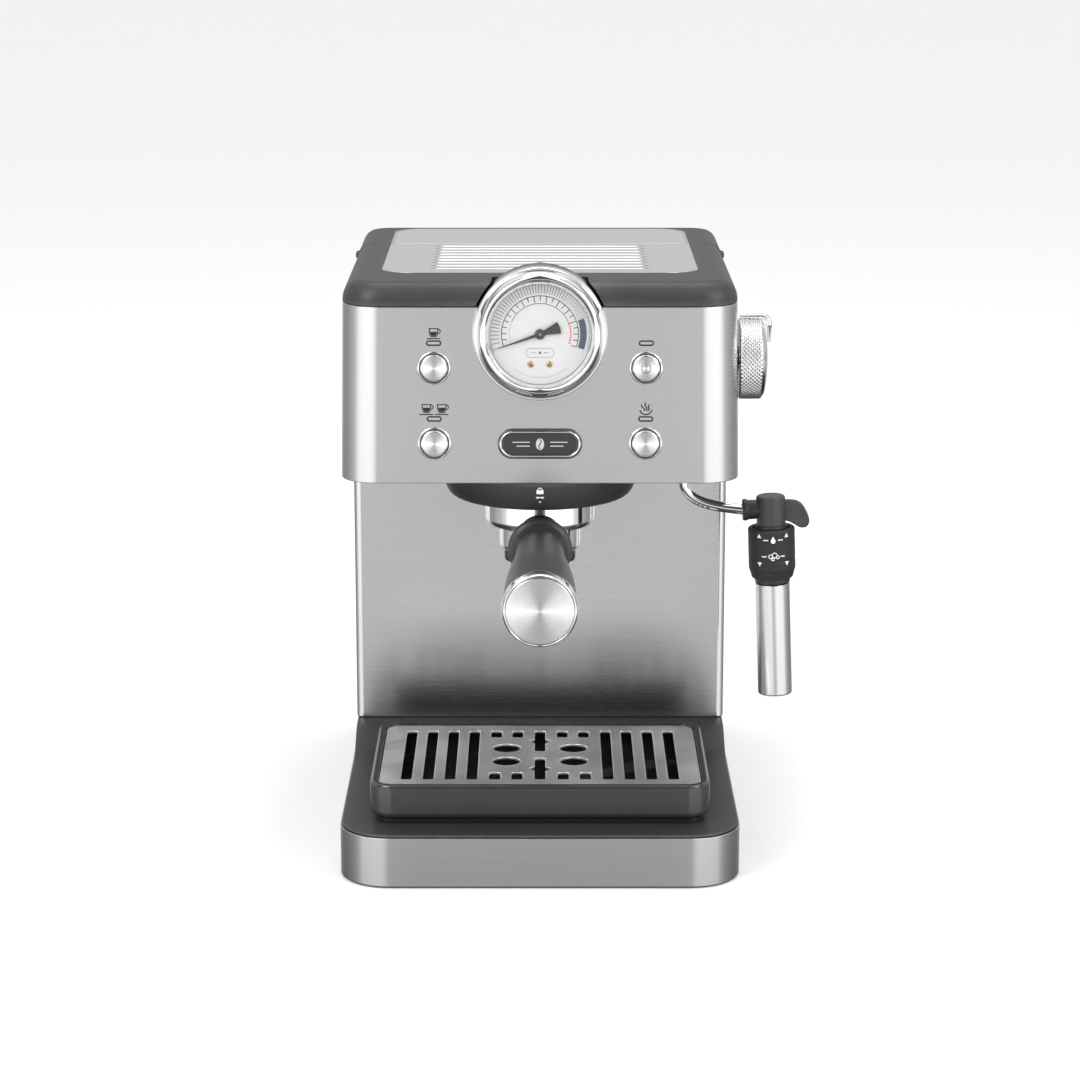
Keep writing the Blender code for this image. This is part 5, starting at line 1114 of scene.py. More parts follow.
def makeKeys():
    head = boxOf("head_shell")[0][1]
    spots = buttonPlaces()
    for name, spot in spots.items():
        r = spot["radius"] / mm
        proud = (head - spot["front"]) / mm
        label = "".join(word.capitalize() for word in name.split("_"))
        centre = (spot["x"], head, spot["z"])
        face = [(0, proud - 0.12), (0.55 * r, proud - 0.05), (r - 1.1, proud), (r - 0.5, proud - 0.1), (r, proud - 0.8),
                (r, -3), (r - 3, -3), (r - 3, -8), (0, -8)]
        cap = turnedPiece("button" + label, easedMm(face, 0.35), centre, "spunMetal", "Y", 96)
        place(cap, name + "_key", "chrome", name + "_button")
        room = r + keys["holeRoom"] / mm
        edge = room + keys["ringWidth"] / mm
        trim = [(room - 0.05, -1.0), (room - 0.05, 0.22), (room + 0.3, 0.42), (edge, 0.2), (edge + 0.15, 0.01),
                (room + 0.3, -0.02), (room + 0.05, -1.0)]
        trim = easedMm(trim, 0.2, closed=True, steps=4)
        place(turnedPiece("buttonRing" + label, trim, centre, "chrome", "Y", 72, ring=True, sharp=60), "root", "chrome")
        seat = np.array([(r + 0.12, -1.4), (r + 0.12, -0.5), (room - 0.06, -0.3), (room - 0.06, -1.4)]) * mm
        well = turnedPiece("buttonSeat" + label, seat, centre, "blackPlastic", "Y", 64, ring=True)
        place(well, "root", "black_plastic")

        for part, finish, target in (("lampRim", "printBlack", None), ("lampLens", "lampLens", name + "_lamp")):
            loops = [grownLoop(*spot["lampSize"], grow * mm) + (spot["x"], spot["lamp"]) for grow, height in keys[part]]
            grid = uprightGrid(loops, [head - height * mm for grow, height in keys[part]])
            solid = target is not None
            piece = surfacePiece(part + label, grid, finish, 50, roundRows=not solid, capFirst=solid, capLast=solid)
            if solid:
                place(piece, "root", "lamp", target)
            else:
                place(piece, "root", "black_plastic")

    single, double, steam, power = (
        [spots[name]["x"] / mm, spots[name]["lamp"] / mm] for name in ("single_cup", "double_cup", "steam", "power")
    )
    icons = cupIcon(single[0], single[1] + keys["cupLift"])
    for shift in (-keys["cupApart"], keys["cupApart"]):
        icons += cupIcon(double[0] + shift, double[1] + keys["cupLift"])
    icons += steamIcon(steam[0], steam[1] + keys["steamLift"])
    wall = frontFrame(0, head, 0) @ Matrix.Scale(mm, 4)
    low, high = printing["lift"], printing["lift"] + printing["thick"]
    place(slabPiece("headPictograms", icons, low, high, wall, "printBlack"), "root", "black_plastic")
    proud = (head - spots["power"]["front"]) / mm
    ring = powerIcon(power[0], spots["power"]["z"] / mm)
    place(slabPiece("powerSymbol", ring, proud - 0.1, proud + 0.02, wall, "printGrey"), "power_key", "black_plastic")


def makeBadge():
    low, high = boxOf("badge")
    width, height = high[0] - low[0], high[2] - low[2]
    middle, back = (low[2] + high[2]) / 2, high[1]
    deep = (back - low[1]) / mm

    def stack(name, levels, finish, slot, *target, **joins):
        # (inset, rise) rows round the badge, in millimetres
        loops = [grownLoop(width, height, -inset * mm, 24) + (0, middle) for inset, rise in levels]
        grid = uprightGrid(loops, [back - rise * mm for inset, rise in levels])
        place(surfacePiece(name, grid, finish, 50, **joins), "root", slot, *target)

    edge, rim = badge["edge"], badge["rim"]
    floor = deep - badge["plateDrop"]
    tray = [(0.25, 0), (0, 0.2), (0, deep - 0.9), (0.3, deep - 0.45), (edge, deep - 0.4), (edge, 0.3)]
    stack("badgeEdge", tray, "glossDark", "gloss_black", "badge", roundRows=True)
    ring = [(edge + 0.02, 0.3), (edge + 0.02, deep - 0.5), (edge + 0.35, deep - 0.05), (edge + 0.7, deep),
            (rim - 0.3, deep - 0.08), (rim, deep - 0.5), (rim + 0.02, 0.3)]
    stack("badgeRing", eased(ring, 0.2, steps=3), "chrome", "chrome", roundRows=True)
    plate = [(rim + 0.03, 0.25), (rim + 0.03, floor - 0.1), (rim + 0.2, floor), (rim + 1.2, floor + 0.05)]
    stack("badgePlate", plate, "glossDark", "gloss_black", capFirst=True, capLast=True)

    # A plain ornament in place of a name: a bean between two pairs of bars.
    a, t = np.linspace(0, 2 * math.pi, 36)[:-1], np.linspace(-1, 1, 16)
    bean = np.stack([badge["bean"][0] * np.cos(a), badge["bean"][1] * np.sin(a)], axis=1)
    crease = stroke(np.stack([0.55 * np.sin(math.pi * t), 2.6 * t], axis=1), 0.5)
    ends = [(side, z, reach) for side in (-1, 1) for z, reach in badge["bars"]]
    bars = [stroke([(side * badge["barStart"], z), (side * reach, z)], 0.5) for side, z, reach in ends]
    front = frontFrame(0, back, middle) @ Matrix.Scale(mm, 4)
    level = floor + 0.06
    place(slabPiece("badgeBars", [bean, *bars], level, level + 0.25, front, "chrome"), "root", "chrome")
    place(slabPiece("beanCrease", [crease], level + 0.25, level + 0.32, front, "printBlack"), "root", "gloss_black")


makeKeys()
makeBadge()
print("controls made")

# Brew group and portafilter

group = {
    "collar": [(51.0, 16.0), (50.9, 11.5), (50.3, 7.2), (48.9, 3.4), (46.6, 0.9), (43.5, 0.0), (40.2, 0.0),
               (40.0, 1.2), (40.0, 16.0)],
    "markerTip": 5.2,
    "markerTop": 8.6,
    "markerHalf": 2.2,
    "lockHalf": 1.8,
    "lockBox": (10.2, 12.2),
}


def makeGroup():
    low, high = boxOf("group_collar")
    middleY = (low[1] + high[1]) / 2
    centre = (0, middleY, low[2])
    section = eased(group["collar"], 2.2, steps=6)
    collar = turnedPiece("groupCollar", section * mm, centre, "darkSatin", sides=160, ring=True, sharp=50)
    place(collar, "root", "dark_plastic", "group_collar")

    # The lock marks lie on the collar's outer side, whose radius follows from the height.
    outer = section[section[:, 0] > 45][::-1]
    outer = outer[np.argsort(outer[:, 1])]

    def collarRadius(v):
        return float(np.interp(v, outer[:, 1], outer[:, 0]))

    tip, topEdge, half = group["markerTip"], group["markerTop"], group["markerHalf"]
    wide, (low, high) = group["lockHalf"], group["lockBox"]
    marker = [(0, tip), (half, topEdge), (-half, topEdge)]
    shackle = stroke(arcPath(0, high, 1.15, 0, 180, 14), 0.42)
    lock = [(-wide, low), (wide, low), (wide, high), (-wide, high)]
    matrix = Matrix.Translation(centre)
    marks = wrappedPiece("collarMarks", [marker, lock, shackle], collarRadius, 0.02, 0.06, matrix, "printWhite")
    place(marks, "root", "dial")


makeGroup()

filterHolder = {
    "body": [(31.8, 0.0), (31.8, -4.5), (29.0, -4.9), (29.0, -21.6), (27.6, -24.0), (21.6, -24.2), (21.5, -35.8),
             (20.2, -37.5), (4.2, -37.5), (4.2, -20.4), (27.5, -18.6), (27.6, 0.0)],
    "rounds": [0.5, 0.5, 0.8, 1.8, 1.6, 0.7, 1.4, 1.2, 0.4, 0.6, 0.6, 0.3],
    "lugRoot": 30 * mm,
    "lugHalf": 9 * mm,
    # (inset, height) of a lug's four outlines, in millimetres
    "lug": [(0.5, -4.4), (0.0, -4.0), (0.0, -1.2), (0.5, -0.8)],
    "boss": [(0, 0), (7.6, 0), (7.6, -1.4), (6.6, -2.2), (6.5, -9.0), (0, -9.0)],
    "spoutArm": 0.55,
    "spoutTip": [(1.9, 2.0), (1.9, 7.4), (2.6, 7.4), (4.4, 7.2), (5.3, 5.6), (5.4, 2.0)],
    "tipInset": 5.4 * mm,
}
handle = {
    "grip": [(0, 0), (16.6, 0.0), (16.9, 1.2), (16.4, 3.0), (14.4, 3.8), (12.9, 6.0), (12.3, 10.0), (12.6, 20.0),
             (13.6, 36.0), (15.4, 56.0), (16.9, 76.0), (17.7, 94.0), (18.0, 110.0), (17.8, 119.6), (17.2, 120.9),
             (0, 120.9)],
    "gripRounds": [0, 0.6, 0.8, 0.8, 1.2, 2.2, 3.0, 5, 6, 7, 7, 6, 4, 0.8, 0.6, 0],
    "cap": [(0, 7.35), (16.6, 7.35), (16.9, 7.75), (17.2, 8.0), (17.7, 7.8), (18.15, 6.9), (18.7, 3.0), (18.7, 1.0),
            (18.2, 0.15), (0, 0.1)],
    "capRounds": [0, 0.1, 0.2, 0.3, 0.4, 0.8, 0.8, 0.5, 0.3, 0],
    "face": [(0, 7.85), (9.0, 7.82), (16.2, 7.72), (16.55, 7.5), (0, 7.38)],
}


def makePortafilter():
    low, high = boxOf("portafilter_body")
    basket = boxOf("filter_basket")
    middleY = (basket[0][1] + basket[1][1]) / 2
    centre = (0, middleY, high[2])
    section = easedMm(filterHolder["body"], filterHolder["rounds"], closed=True, steps=6)
    body = turnedPiece("portafilterBody", section, centre, "chrome", sides=160, ring=True, sharp=50)
    place(body, "portafilter", "chrome", "portafilter_body")

    # Bayonet lugs, and the boss that carries the handle.
    inner, half = filterHolder["lugRoot"], filterHolder["lugHalf"]
    reach = high[0] - inner
    for side, label in sides:
        loops = []
        for inset, rise in filterHolder["lug"]:
            d = inset * mm
            ring = roundedLoop(reach / 2 - d, d - half, half - d, 1.5 * mm, 1.5 * mm, 3, 6)
            loops.append(ring + (side * (inner + reach / 2), middleY))
        grid = stackedGrid(loops, [high[2] + rise * mm for inset, rise in filterHolder["lug"]])
        lug = surfacePiece("bayonetLug" + label, grid, "chrome", 50, capFirst=True, capLast=True)
        place(lug, "portafilter", "chrome")
    gripLow, gripHigh = boxOf("handle_grip")
    axisZ = (gripLow[2] + gripHigh[2]) / 2
    rear = (0, gripHigh[1] - 0.05 * mm, axisZ)
    boss = turnedPiece("handleBoss", easedMm(filterHolder["boss"], 0.6), rear, "chrome", "Y", 48)
    place(boss, "portafilter", "chrome")

    section = easedMm(handle["grip"], handle["gripRounds"])
    grip = turnedPiece("handleGrip", section, (0, gripHigh[1], axisZ), "gripSatin", "Y", 96, sharp=50)
    place(grip, "portafilter", "grip", "handle_grip")
    end = (0, boxOf("handle_cap")[1][1], axisZ)
    cap = turnedPiece("handleCap", easedMm(handle["cap"], handle["capRounds"]), end, "chrome", "Y", 128, sharp=45)
    place(cap, "portafilter", "chrome", "handle_cap")
    face = turnedPiece("capFace", easedMm(handle["face"], 0.15), end, "spunMetal", "Y", 128)
    place(face, "portafilter", "chrome")

    # Twin spout: a rounded arm with two drip tips.
    low, high = boxOf("portafilter_spout")
    half, deep = high[0], (high[1] - low[1]) / 2
    foot = (low[2] - high[2]) * filterHolder["spoutArm"] / mm
    levels = [(1.2, 0), (0.3, -0.3), (0.0, -1.0), (0.0, foot + 1.6), (0.9, foot + 0.5), (2.6, foot)]
    loops = [grownLoop(2 * half, 2 * deep, -inset * mm, 20) + (0, middleY) for inset, rise in levels]
    grid = stackedGrid(loops, [high[2] + rise * mm for inset, rise in levels])
    arm = surfacePiece("spoutArm", grid, "blackPlastic", 60, capFirst=True, capLast=True)
    place(arm, "portafilter", "black_plastic", "portafilter_spout")
    section = easedMm(filterHolder["spoutTip"], 0.8, closed=True) * (1, -1)
    for side, label in sides:
        spot = (side * (half - filterHolder["tipInset"]), middleY, high[2])
        tip = turnedPiece("spoutTip" + label, section, spot, "blackPlastic", sides=40, ring=True, sharp=50)
        place(tip, "portafilter", "black_plastic")


makePortafilter()
print("brew group made")

# Steam knob: knurled drum, domed end and a pointer rib that wraps over the edge

knob = {
    "headRoom": 0.3 * mm,
    "width": 12 * mm,
    "shaft": 2.9 * mm,
    "shaftReach": 6 * mm,
    "knurlDepth": 0.55 * mm,
    "knurlCount": 60,
    "knurlWidth": 2.2,
    "rim": 1.1 * mm,
    "shoulder": 1.6 * mm,
    "domeStart": 0.35 * mm,
    "domeRise": 2.65 * mm,
    "ribHalf": 2.1 * mm,
    "washer": [(6.4, -0.25), (6.4, 0.15), (3.3, 0.15), (3.3, -0.25)],
}


def makeKnob():
    low, high = boxOf("steam_knob")
    side = boxOf("head_shell")[1][0] + knob["headRoom"]
    valve = boxOf("steam_valve")
    y, z = (valve[0][1] + valve[1][1]) / 2, (valve[0][2] + valve[1][2]) / 2
    radius = (high[1] - low[1]) / 2
    width = knob["width"]

    # r = R - depth * fold(u + v) * fold(u - v): two crossing sets of grooves leave small diamonds.
    count = knob["knurlCount"]
    around, along = count * 12, 64
    angle = np.linspace(0, 2 * math.pi, around, endpoint=False)
    height = np.linspace(knob["rim"], width - knob["rim"], along)
    pitch = 2 * math.pi * radius / count
    u = angle[None, :] * count / (2 * math.pi)
    v = (height[:, None] - knob["rim"]) / pitch

    def fold(t):
        return np.abs((t % 1.0) - 0.5) * 2

    cut = sum(np.maximum(1 - knob["knurlWidth"] * fold(t), 0) for t in (u + v, u - v))
    drum = radius - knob["knurlDepth"] * np.clip(cut, 0, 1)
    shaft, deep, edge = knob["shaft"], knob["shaftReach"], radius - 0.15 * mm
    shoulder, start = radius - knob["shoulder"], width + knob["domeStart"]
    inward = eased([(shaft, -deep), (shaft, 0), (radius - 1 * mm, 0), (edge, 0.5 * mm)], 0.25 * mm)
    dome = [(edge, width - 0.7 * mm), (radius - 0.5 * mm, width - 0.1 * mm), (shoulder, start)]
    arc = np.linspace(0.06, 1, 14) * math.pi / 2
    cap = zip(shoulder * np.cos(arc), start + knob["domeRise"] * np.sin(arc))
    rows = [(0, -deep), *inward, *zip(drum, height), *dome, *cap]
    grid = [np.stack([side + h + 0 * angle, y + r * np.cos(angle), z + r * np.sin(angle)], axis=1) for r, h in rows]
    place(surfacePiece("steamKnob", np.stack(grid), "knurledChrome", 70), "steam_knob_body", "chrome", "steam_knob")

    # The rib: a rounded bar, its section turned as it runs along the drum and down over the dome.
    over, out = radius + 1.2 * mm, width + 4.0 * mm
    corners = [(0.6 * mm, over), (width + 1.8 * mm, over), (out, radius - 1.2 * mm), (out, 0.42 * radius)]
    path = eased(corners, [0, 3.2 * mm, 3.2 * mm, 0], steps=8)
    run = np.gradient(path, axis=0)
    run /= np.linalg.norm(run, axis=1)[:, None]
    off = np.stack([-run[:, 1], run[:, 0]], axis=1)
    ring = roundedLoop(knob["ribHalf"], -1.5 * mm, 1.4 * mm, 0.9 * mm, 1.2 * mm, 3, 6)
    ends = np.array([0.55, 0.85, *[1.0] * (len(path) - 4), 0.85, 0.55])
    rows = []
    for (h, r), (offH, offR), shrink in zip(path, off, ends):
        across, lift = ring[:, 0] * shrink, ring[:, 1] * shrink
        rows.append(np.stack([side + h + offH * lift, y + across, z + r + offR * lift], axis=1))
    rib = surfacePiece("knobRib", np.stack(rows), "chrome", 60, capFirst=True, capLast=True)
    place(rib, "steam_knob_body", "chrome")
    washer = np.array(knob["washer"]) * mm
    place(turnedPiece("shaftWasher", washer, (side, y, z), "blackPlastic", "X", 40, ring=True), "root", "black_plastic")


makeKnob()

# Steam wand and frother

wand = {
    "radius": 2.75 * mm,
    "sides": 40,
    "rootReach": 15 * mm,
    "kneeDrop": 5 * mm,
    # shares of the bend's height and width that its two pulls reach
    "drop": 0.75,
    "sweep": 0.58,
    "rise": 0.11,
}
frother = {
    "swivelLift": 22.6 * mm,  # from the sleeve's middle to the swivel's
    # (radius, height) in millimetres about the swivel's middle
    "swivel": [(0, 7.7), (6.6, 7.7), (7.4, 7.2), (7.6, 6.4), (7.6, -8.2), (0, -8.2)],
    "core": [(0, -11.9), (9.2, -12.0), (9.3, -38.6), (8.6, -39.1), (0, -39.1)],
    "tube": [(9.0, -39.4), (9.0, -99.3), (8.75, -99.8), (8.1, -99.8), (8.0, -99.2), (8.0, -39.4)],
    "neck": [(0, -7.8), (8.4, -7.8), (8.9, -8.4), (8.9, -12.0), (0, -12.0)],
    "nozzle": [(0, -60.0), (3.9, -60.0), (3.9, -96.0), (2.5, -97.0), (2.5, -101.2), (2.2, -101.4), (0.8, -101.4),
               (0.7, -100.2), (0, -100.0)],
    "sleeve": [(9.9, -9.1), (11.5, -9.1), (12.3, -9.9), (12.3, -24.9), (12.15, -25.6), (12.3, -26.3), (12.3, -31.0),
               (11.9, -32.0), (11.75, -32.2), (11.75, -32.9), (11.5, -33.2), (11.2, -34.6), (10.8, -36.1),
               (9.8, -36.1)],
    "sleeveRadius": 12.3,
    # (radius, height) along the wand's end
    "boot": [(2.8, 14.9), (5.4, 14.9), (5.7, 14.4), (5.7, 12.6), (5.2, 12.2), (5.0, 7.0), (5.0, 4.0), (2.8, 4.0)],
    "bootLift": 0.4 * mm,
    # (x, height) seen from the front
    "paddle": [(4.6, 5.0), (9.0, 5.1), (13.6, 4.6), (16.6, 2.6), (18.9, -1.6), (20.5, -6.6), (18.9, -10.1),
               (15.2, -10.3), (12.4, -8.4), (9.0, -6.3), (4.6, -5.6)],
    "paddleHalf": 2.3 * mm,
}


def sweptGrid(path, radius, sides):
    # A circle carried along a path: its plane follows the path's direction with no twist.
    path = np.asarray(path, float)
    run = np.gradient(path, axis=0)
    run /= np.linalg.norm(run, axis=1)[:, None]
    side = np.array([0.0, 1.0, 0.0])
    a = np.linspace(0, 2 * math.pi, sides, endpoint=False)
    across = np.cross(run, side)
    across /= np.linalg.norm(across, axis=1)[:, None]
    return path[:, None, :] + radius * (np.cos(a)[None, :, None] * across[:, None, :] + np.sin(a)[None, :, None] * side)


def makeWand():
    bushLow, bushHigh = boxOf("wand_bush")
    rootX, rootY = (bushLow[0] + bushHigh[0]) / 2, (bushLow[1] + bushHigh[1]) / 2
    headBottom = boxOf("head_shell")[0][2]
    sleeve, tube = boxOf("selector_sleeve"), boxOf("frother_tube")
    upper, lower = (sleeve[0] + sleeve[1]) / 2, (tube[0] + tube[1]) / 2
    axis = Vector(upper - lower).normalized()
    tilt = Matrix.Rotation(math.atan2(axis.x, axis.z), 4, "Y")
    origin = Vector(upper) + axis * frother["swivelLift"]
    knee = np.array([rootX, rootY, headBottom - wand["kneeDrop"]])
    end = np.array([boxOf("wand_tube")[1][0], rootY, origin.z])
    fall, reach = knee[2] - end[2], end[0] - knee[0]
    first = knee - (0, 0, wand["drop"] * fall)
    second = end + (-wand["sweep"] * reach, 0, wand["rise"] * fall)
    t = np.linspace(0, 1, 40)[:, None]
    bend = (1 - t) ** 3 * knee + 3 * (1 - t) ** 2 * t * first + 3 * (1 - t) * t**2 * second + t**3 * end
    straight = knee + (0, 0, wand["rootReach"]) * (1 - np.linspace(0, 1, 6)[:-1, None])
    pipe = sweptGrid(np.concatenate([straight, bend]), wand["radius"], wand["sides"])
    piece = surfacePiece("wandTube", pipe, "chrome", 50, capFirst=True, capLast=True)
    place(piece, "wand", "chrome", "wand_tube")

    matrix = Matrix.Translation(origin) @ tilt
    turn = np.array(matrix)

    def leaning(name, grid, finish, sharp, **joins):
        # A grid made about the swivel's middle, leant with the frother.
        return surfacePiece(name, grid @ turn[:3, :3].T + turn[:3, 3], finish, sharp, **joins)

    def turned(name, part, rounds, finish, ring=False, around=80):
        grid = turnedGrid(easedMm(frother[part], rounds, closed=ring), (0, 0, 0), "Z", around)
        return leaning(name, grid, finish, 45, roundRows=ring)

    place(turned("swivelBody", "swivel", 0.6, "gripSatin"), "wand", "black_plastic", "frother_body")
    place(turned("swivelNeck", "neck", 0.4, "blackPlastic"), "wand", "black_plastic")
    place(turned("frotherCore", "core", 0.4, "blackPlastic"), "wand", "black_plastic")
    place(turned("frotherTube", "tube", 0.3, "tubeSteel", True, 96), "wand", "steel_tube", "frother_tube")
    place(turned("steamNozzle", "nozzle", 0.4, "blackPlastic", around=40), "wand", "black_plastic", "steam_nozzle")
    place(turned("selectorSleeve", "sleeve", 0.45, "sleeveBlack", True, 96), "sleeve", "grip", "selector_sleeve")

    # Socket of the swivel: a tapered rubber boot with a lip round the tube, laid towards -X.
    upright = turnedGrid(easedMm(frother["boot"], 0.4, closed=True), (0, 0, 0), "Z", 48)
    laid = np.stack([-upright[:, :, 2], upright[:, :, 1], upright[:, :, 0] + frother["bootLift"]], axis=2)
    place(leaning("swivelSocket", laid, "blackPlastic", 50, roundRows=True), "wand", "black_plastic")

    # Finger paddle: its outline shrinks towards both faces, so the rim is round.
    outline = easedMm(frother["paddle"], 2.2, closed=True, steps=6)
    middle = outline.mean(axis=0)
    shares = np.linspace(-1, 1, 13)
    loops = [middle + (outline - middle) * (1 - 0.14 * (1 - math.sqrt(max(0.0, 1 - share**4)))) for share in shares]
    upright = uprightGrid(loops, frother["paddleHalf"] * shares)
    paddle = leaning("fingerPaddle", upright, "blackPlastic", 60, capFirst=True, capLast=True)
    place(paddle, "wand", "black_plastic")

    # Marks on the sleeve: arrows for the two settings, a drop for milk and bubbles for froth.
    def arrow(u, v, up):
        s = 1 if up else -1
        return np.array([(u - 1.25, v - s * 1.0), (u + 1.25, v - s * 1.0), (u, v + s * 1.2)])

    drop = np.concatenate([arcPath(0, -0.5, 1.25, 155, 385, 20), [(0, 2.1)]]) + (0, -13.9)
    marks = [arrow(u, v, up) for v, up in ((-11.8, True), (-26.9, False)) for u in (-7.6, 7.6)] + [drop]
    marks += [stroke([(-5.2, -13.9), (-2.6, -13.9)], 0.55), stroke([(2.6, -13.9), (5.2, -13.9)], 0.55)]
    for u, v, r in ((-1.5, -22.6, 1.0), (0.6, -22.0, 1.3), (2.3, -23.0, 0.8), (-0.3, -24.1, 0.7)):
        marks.append(stroke(arcPath(u, v, r, 0, 352, 22), 0.4))
    marks += [stroke([(-6.2, -22.7), (-3.6, -22.7)], 0.55), stroke([(3.8, -22.7), (6.2, -22.7)], 0.55)]
    wrapped = wrappedPiece("sleeveMarks", marks, lambda v: frother["sleeveRadius"], 0.03, 0.06, matrix, "printWhite")
    place(wrapped, "sleeve", "dial")


makeWand()
print("steam parts made")

# Drip tray and grid

tray = {
    "corner": 12 * mm,
    # (inset, height) from the underside, over the rim and down inside, in millimetres
    "section": [(3.4, 0.0), (2.7, 0.15), (2.5, 0.5), (2.4, 2.2), (1.1, 3.1), (0.25, 3.9), (0.0, 5.2), (0.15, 18.2),
                (0.35, 19.4), (1.0, 20.1), (1.8, 20.2), (3.4, 20.2), (4.0, 20.0), (4.2, 19.5), (4.25, 17.7),
                (7.6, 17.6), (8.1, 17.2), (8.6, 4.0), (10.0, 2.7), (13.0, 2.5)],
}
grid = {
    "edge": 0.42 * mm,
    # the openings, in millimetres
    "corner": 7.4,
    "slotWidth": 5.6,
    "slots": (35.0, 46.2, 57.4, 68.6),
    "margin": 10.0,
    "holeRadius": 7.2,
    "holeX": 17.6,
    "holeShare": 0.135,
    "square": 5.8,
    "squareApart": 5.7,
    "crossShare": 0.285,
    "crossReach": 0.215,
    "crossStep": 2.6,
}


def makeTray():
    low, high = boxOf("drip_tray")
    half, front, back = high[0], low[1], high[1]
    loops, heights = [], []
    for inset, rise in tray["section"]:
        d = inset * mm
        radius = max(tray["corner"] - d, 2 * mm)
        loops.append(roundedLoop(half - d, front + d, back - d, radius, radius, 12, 14))
        heights.append(low[2] + rise * mm)
    piece = surfacePiece("dripTray", stackedGrid(loops, heights), "glossDark", 40, capFirst=True, capLast=True)
    place(piece, "tray", "gloss_black", "drip_tray")

    low, high = boxOf("drip_grid")
    half, front, back = high[0] / mm, low[1] / mm, high[1] / mm
    middle, length = (front + back) / 2, back - front - 2 * grid["margin"]
    outlines = [roundedLoop(half, front, back, grid["corner"], grid["corner"], 1, 12)]

    def slot(x, y, width, long):
        left, right, near, far = x - width / 2, x + width / 2, y - long / 2, y + long / 2
        return eased([(left, near), (right, near), (right, far), (left, far)], 1.5, closed=True)

    for side in (-1, 1):
        for x in grid["slots"]:
            outlines.append(slot(side * x, middle, grid["slotWidth"], length))
        for end in (-1, 1):
            y = middle + end * grid["holeShare"] * length
            outlines.append(disc(side * grid["holeX"], y, grid["holeRadius"], 48))
            for shift in (-1, 1):
                y = middle + end * (length / 2 - grid["square"])
                x = side * grid["holeX"] + shift * grid["squareApart"]
                outlines.append(slot(x, y, grid["square"], 2 * grid["square"]))
    wide, reach = grid["slotWidth"] / 2, grid["crossReach"] * length
    out = wide + grid["crossStep"]
    for end in (-1, 1):
        y = middle + end * grid["crossShare"] * length
        right = [(wide, y - reach), (wide, y - 3.2), (out, y - 1.3), (out, y + 1.3), (wide, y + 3.2), (wide, y + reach)]
        shape = right + [(-x, 2 * y - v) for x, v in right]
        outlines.append(eased(shape, [1.4, 1.0, 1.0, 1.0, 1.0, 1.4] * 2, closed=True, steps=4))

    # A flat curve with its openings, extruded and rounded, then made a mesh.
    curve = bpy.data.curves.new("gridPlate", "CURVE")
    curve.dimensions = "2D"
    curve.fill_mode = "BOTH"
    edge = grid["edge"]
    curve.extrude = (high[2] - low[2]) / 2 - edge
    curve.bevel_depth = edge
    curve.bevel_resolution = 3
    curve.offset = -edge
    for outline in outlines:
        spline = curve.splines.new("POLY")
        spline.points.add(len(outline) - 1)
        flat = np.column_stack([np.asarray(outline) * mm, np.zeros(len(outline)), np.ones(len(outline))])
        spline.points.foreach_set("co", flat.ravel())
        spline.use_cyclic_u = True
    guide = bpy.data.objects.new("gridPlate", curve)
    bpy.context.scene.collection.objects.link(guide)
    bpy.context.view_layer.update()
    mesh = bpy.data.meshes.new_from_object(guide.evaluated_get(bpy.context.evaluated_depsgraph_get()))
    bpy.data.objects.remove(guide)
    bm = bmesh.new()
    bm.from_mesh(mesh)
    bmesh.ops.translate(bm, vec=(0, 0, (low[2] + high[2]) / 2), verts=bm.verts)
    bmesh.ops.remove_doubles(bm, verts=bm.verts, dist=1e-6)
    bmesh.ops.recalc_face_normals(bm, faces=bm.faces)
    piece = evenNormals(finishMesh("dripGrid", bm, "gridChrome", 40))
    place(piece, "grid", "chrome", "drip_grid")


makeTray()
print("tray made")

# Rear cover: a shallow moulded lid with vent slots, screws and a cable gland

rear = {
    "section": [(0.0, 0.0), (0.0, 2.6), (0.5, 4.2), (1.6, 5.2), (3.4, 5.7)],
    "corner": 2.5 * mm,
    "vents": 7,
    "ventPitch": 8 * mm,
    "ventHeight": 3 * mm,
    "ventHalf": 35 * mm,
    "ventFirst": 60 * mm,
    "glandHole": 5.6 * mm,
    "gland": [(7.4, 0.05), (7.4, 1.0), (6.6, 1.9), (5.2, 2.45), (3.6, 2.45), (3.4, 2.0), (3.4, -8.0), (5.2, -8.0),
              (5.2, -0.2)],
    # shares of half the width and of the height
    "screwPlaces": ((-0.86, 0.06), (0.86, 0.06), (-0.86, 0.93), (0.86, 0.93)),
    "screw": [(0, -0.45), (1.3, -0.45), (2.6, -0.2), (3.1, 0.4), (3.1, 0.8), (0, 0.8)],
    "screwCup": [(3.2, 0.2), (3.5, -0.15), (4.1, -0.15), (4.5, 0.25), (4.2, 0.6), (3.3, 0.6)],
}


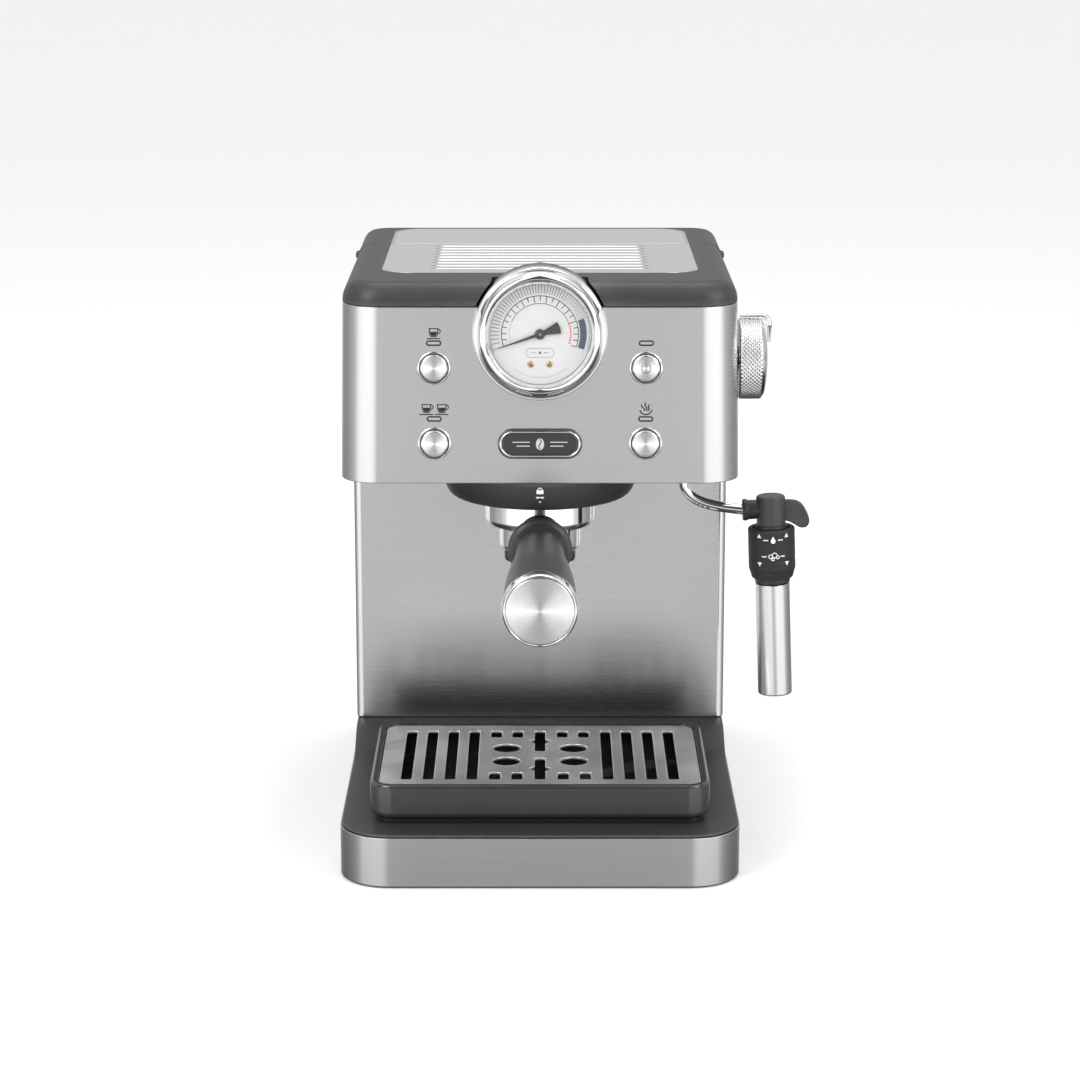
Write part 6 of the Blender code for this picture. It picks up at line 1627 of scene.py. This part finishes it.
def makeRear():
    low, high = boxOf("rear_cover")
    half = high[0]
    rows, depths = [], []
    for inset, out in rear["section"]:
        d = inset * mm
        corner = max(rear["corner"] - 0.4 * d, mm)
        rows.append(roundedLoop(half - d, low[2] + 0.3 * d, high[2] - 0.3 * d, corner, corner, 10, 8))
        depths.append(min(low[1] + out * mm, high[1]))
    cover = surfacePiece("rearCover", uprightGrid(rows, depths), "deckSatin", 50, capFirst=True, capLast=True)
    cutters = []
    for i in range(rear["vents"]):
        z = low[2] + rear["ventFirst"] + i * rear["ventPitch"] + rear["ventHeight"] / 2
        loop = stadium(0, z, 2 * rear["ventHalf"], rear["ventHeight"])
        cutters.append(uprightGrid([loop, loop], (low[1] - 3 * mm, high[1] + 3 * mm)))
    glandLow, glandHigh = boxOf("power_gland")
    x, z = (glandLow[0] + glandHigh[0]) / 2, (glandLow[2] + glandHigh[2]) / 2
    cutters.append(turnedGrid([(rear["glandHole"], -12 * mm), (rear["glandHole"], 12 * mm)], (x, high[1], z), "Y", 48))
    place(holed(cover, cutters, "ventSlots"), "root", "dark_plastic", "rear_cover")

    # Heights of turned pieces run towards the front, so what stands out at the back has its heights reversed.
    section = eased(np.array(rear["gland"]) * (1, -1), 0.4, closed=True) * mm
    gland = turnedPiece("powerGland", section, (x, high[1], z), "rubber", "Y", 56, ring=True, sharp=60)
    place(gland, "root", "rubber", "power_gland")
    for index, (shareX, shareZ) in enumerate(rear["screwPlaces"]):
        spot = (shareX * half, high[1], low[2] + shareZ * (high[2] - low[2]))
        label = str(index + 1)
        place(turnedPiece("rearScrew" + label, easedMm(rear["screw"], 0.3), spot, "castMetal", "Y", 32), "root", "cast")
        section = easedMm(rear["screwCup"], 0.2, closed=True)
        cup = turnedPiece("rearScrewCup" + label, section, spot, "deckSatin", "Y", 40, ring=True)
        place(cup, "root", "dark_plastic")


makeRear()
print("rear made")

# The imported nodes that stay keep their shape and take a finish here.

nodeFinishes = {
    "blackPlastic": ("base_pan", "head_underside", "wand_bush", "tank_bay", "gauge_case"),
    "rubber": ("foot_front_left", "foot_front_right", "foot_rear_left", "foot_rear_right",
               "group_gasket", "tank_valve"),
    "castMetal": ("lock_ring", "brew_head", "thermoblock"),
    "plateSteel": ("shower_screen", "filter_basket"),
    "chrome": ("lid_hinge_pin",),
    "brass": ("steam_valve", "pump", "steam_pipe"),
    "boardGreen": ("control_board",),
    "tankClear": ("water_tank",),
    "hoseClear": ("intake_hose", "pressure_hose"),
}


def finishNodes():
    for finish, names in nodeFinishes.items():
        for name in names:
            for slot in nodes[name].material_slots:
                slot.material = finishes[finish]


finishNodes()
print("kept nodes finished")


def makeFloor():
    reach = studio["floorReach"]
    tree, shader, where = newFinish("floorPaint")
    cloud = noiseNode(tree, where, 0.6, 1.0)
    colour = studio["floorColour"]
    base = mixColours(tree, cloud.outputs["Fac"], scaledColour(colour, 0.995), colour)
    tree.links.new(base, shader.inputs["Base Color"])
    shader.inputs["Roughness"].default_value = 0.9
    shader.inputs["Specular IOR Level"].default_value = 0.1
    mesh = bpy.data.meshes.new("floor")
    corners = [(-reach, -reach, 0), (reach, -reach, 0), (reach, reach, 0), (-reach, reach, 0)]
    mesh.from_pydata(corners, [], [(0, 1, 2, 3)])
    mesh.materials.append(finishes["floorPaint"])
    floor = bpy.data.objects.new("floor", mesh)
    bpy.context.scene.collection.objects.link(floor)
    floor.visible_glossy = False


makeFloor()
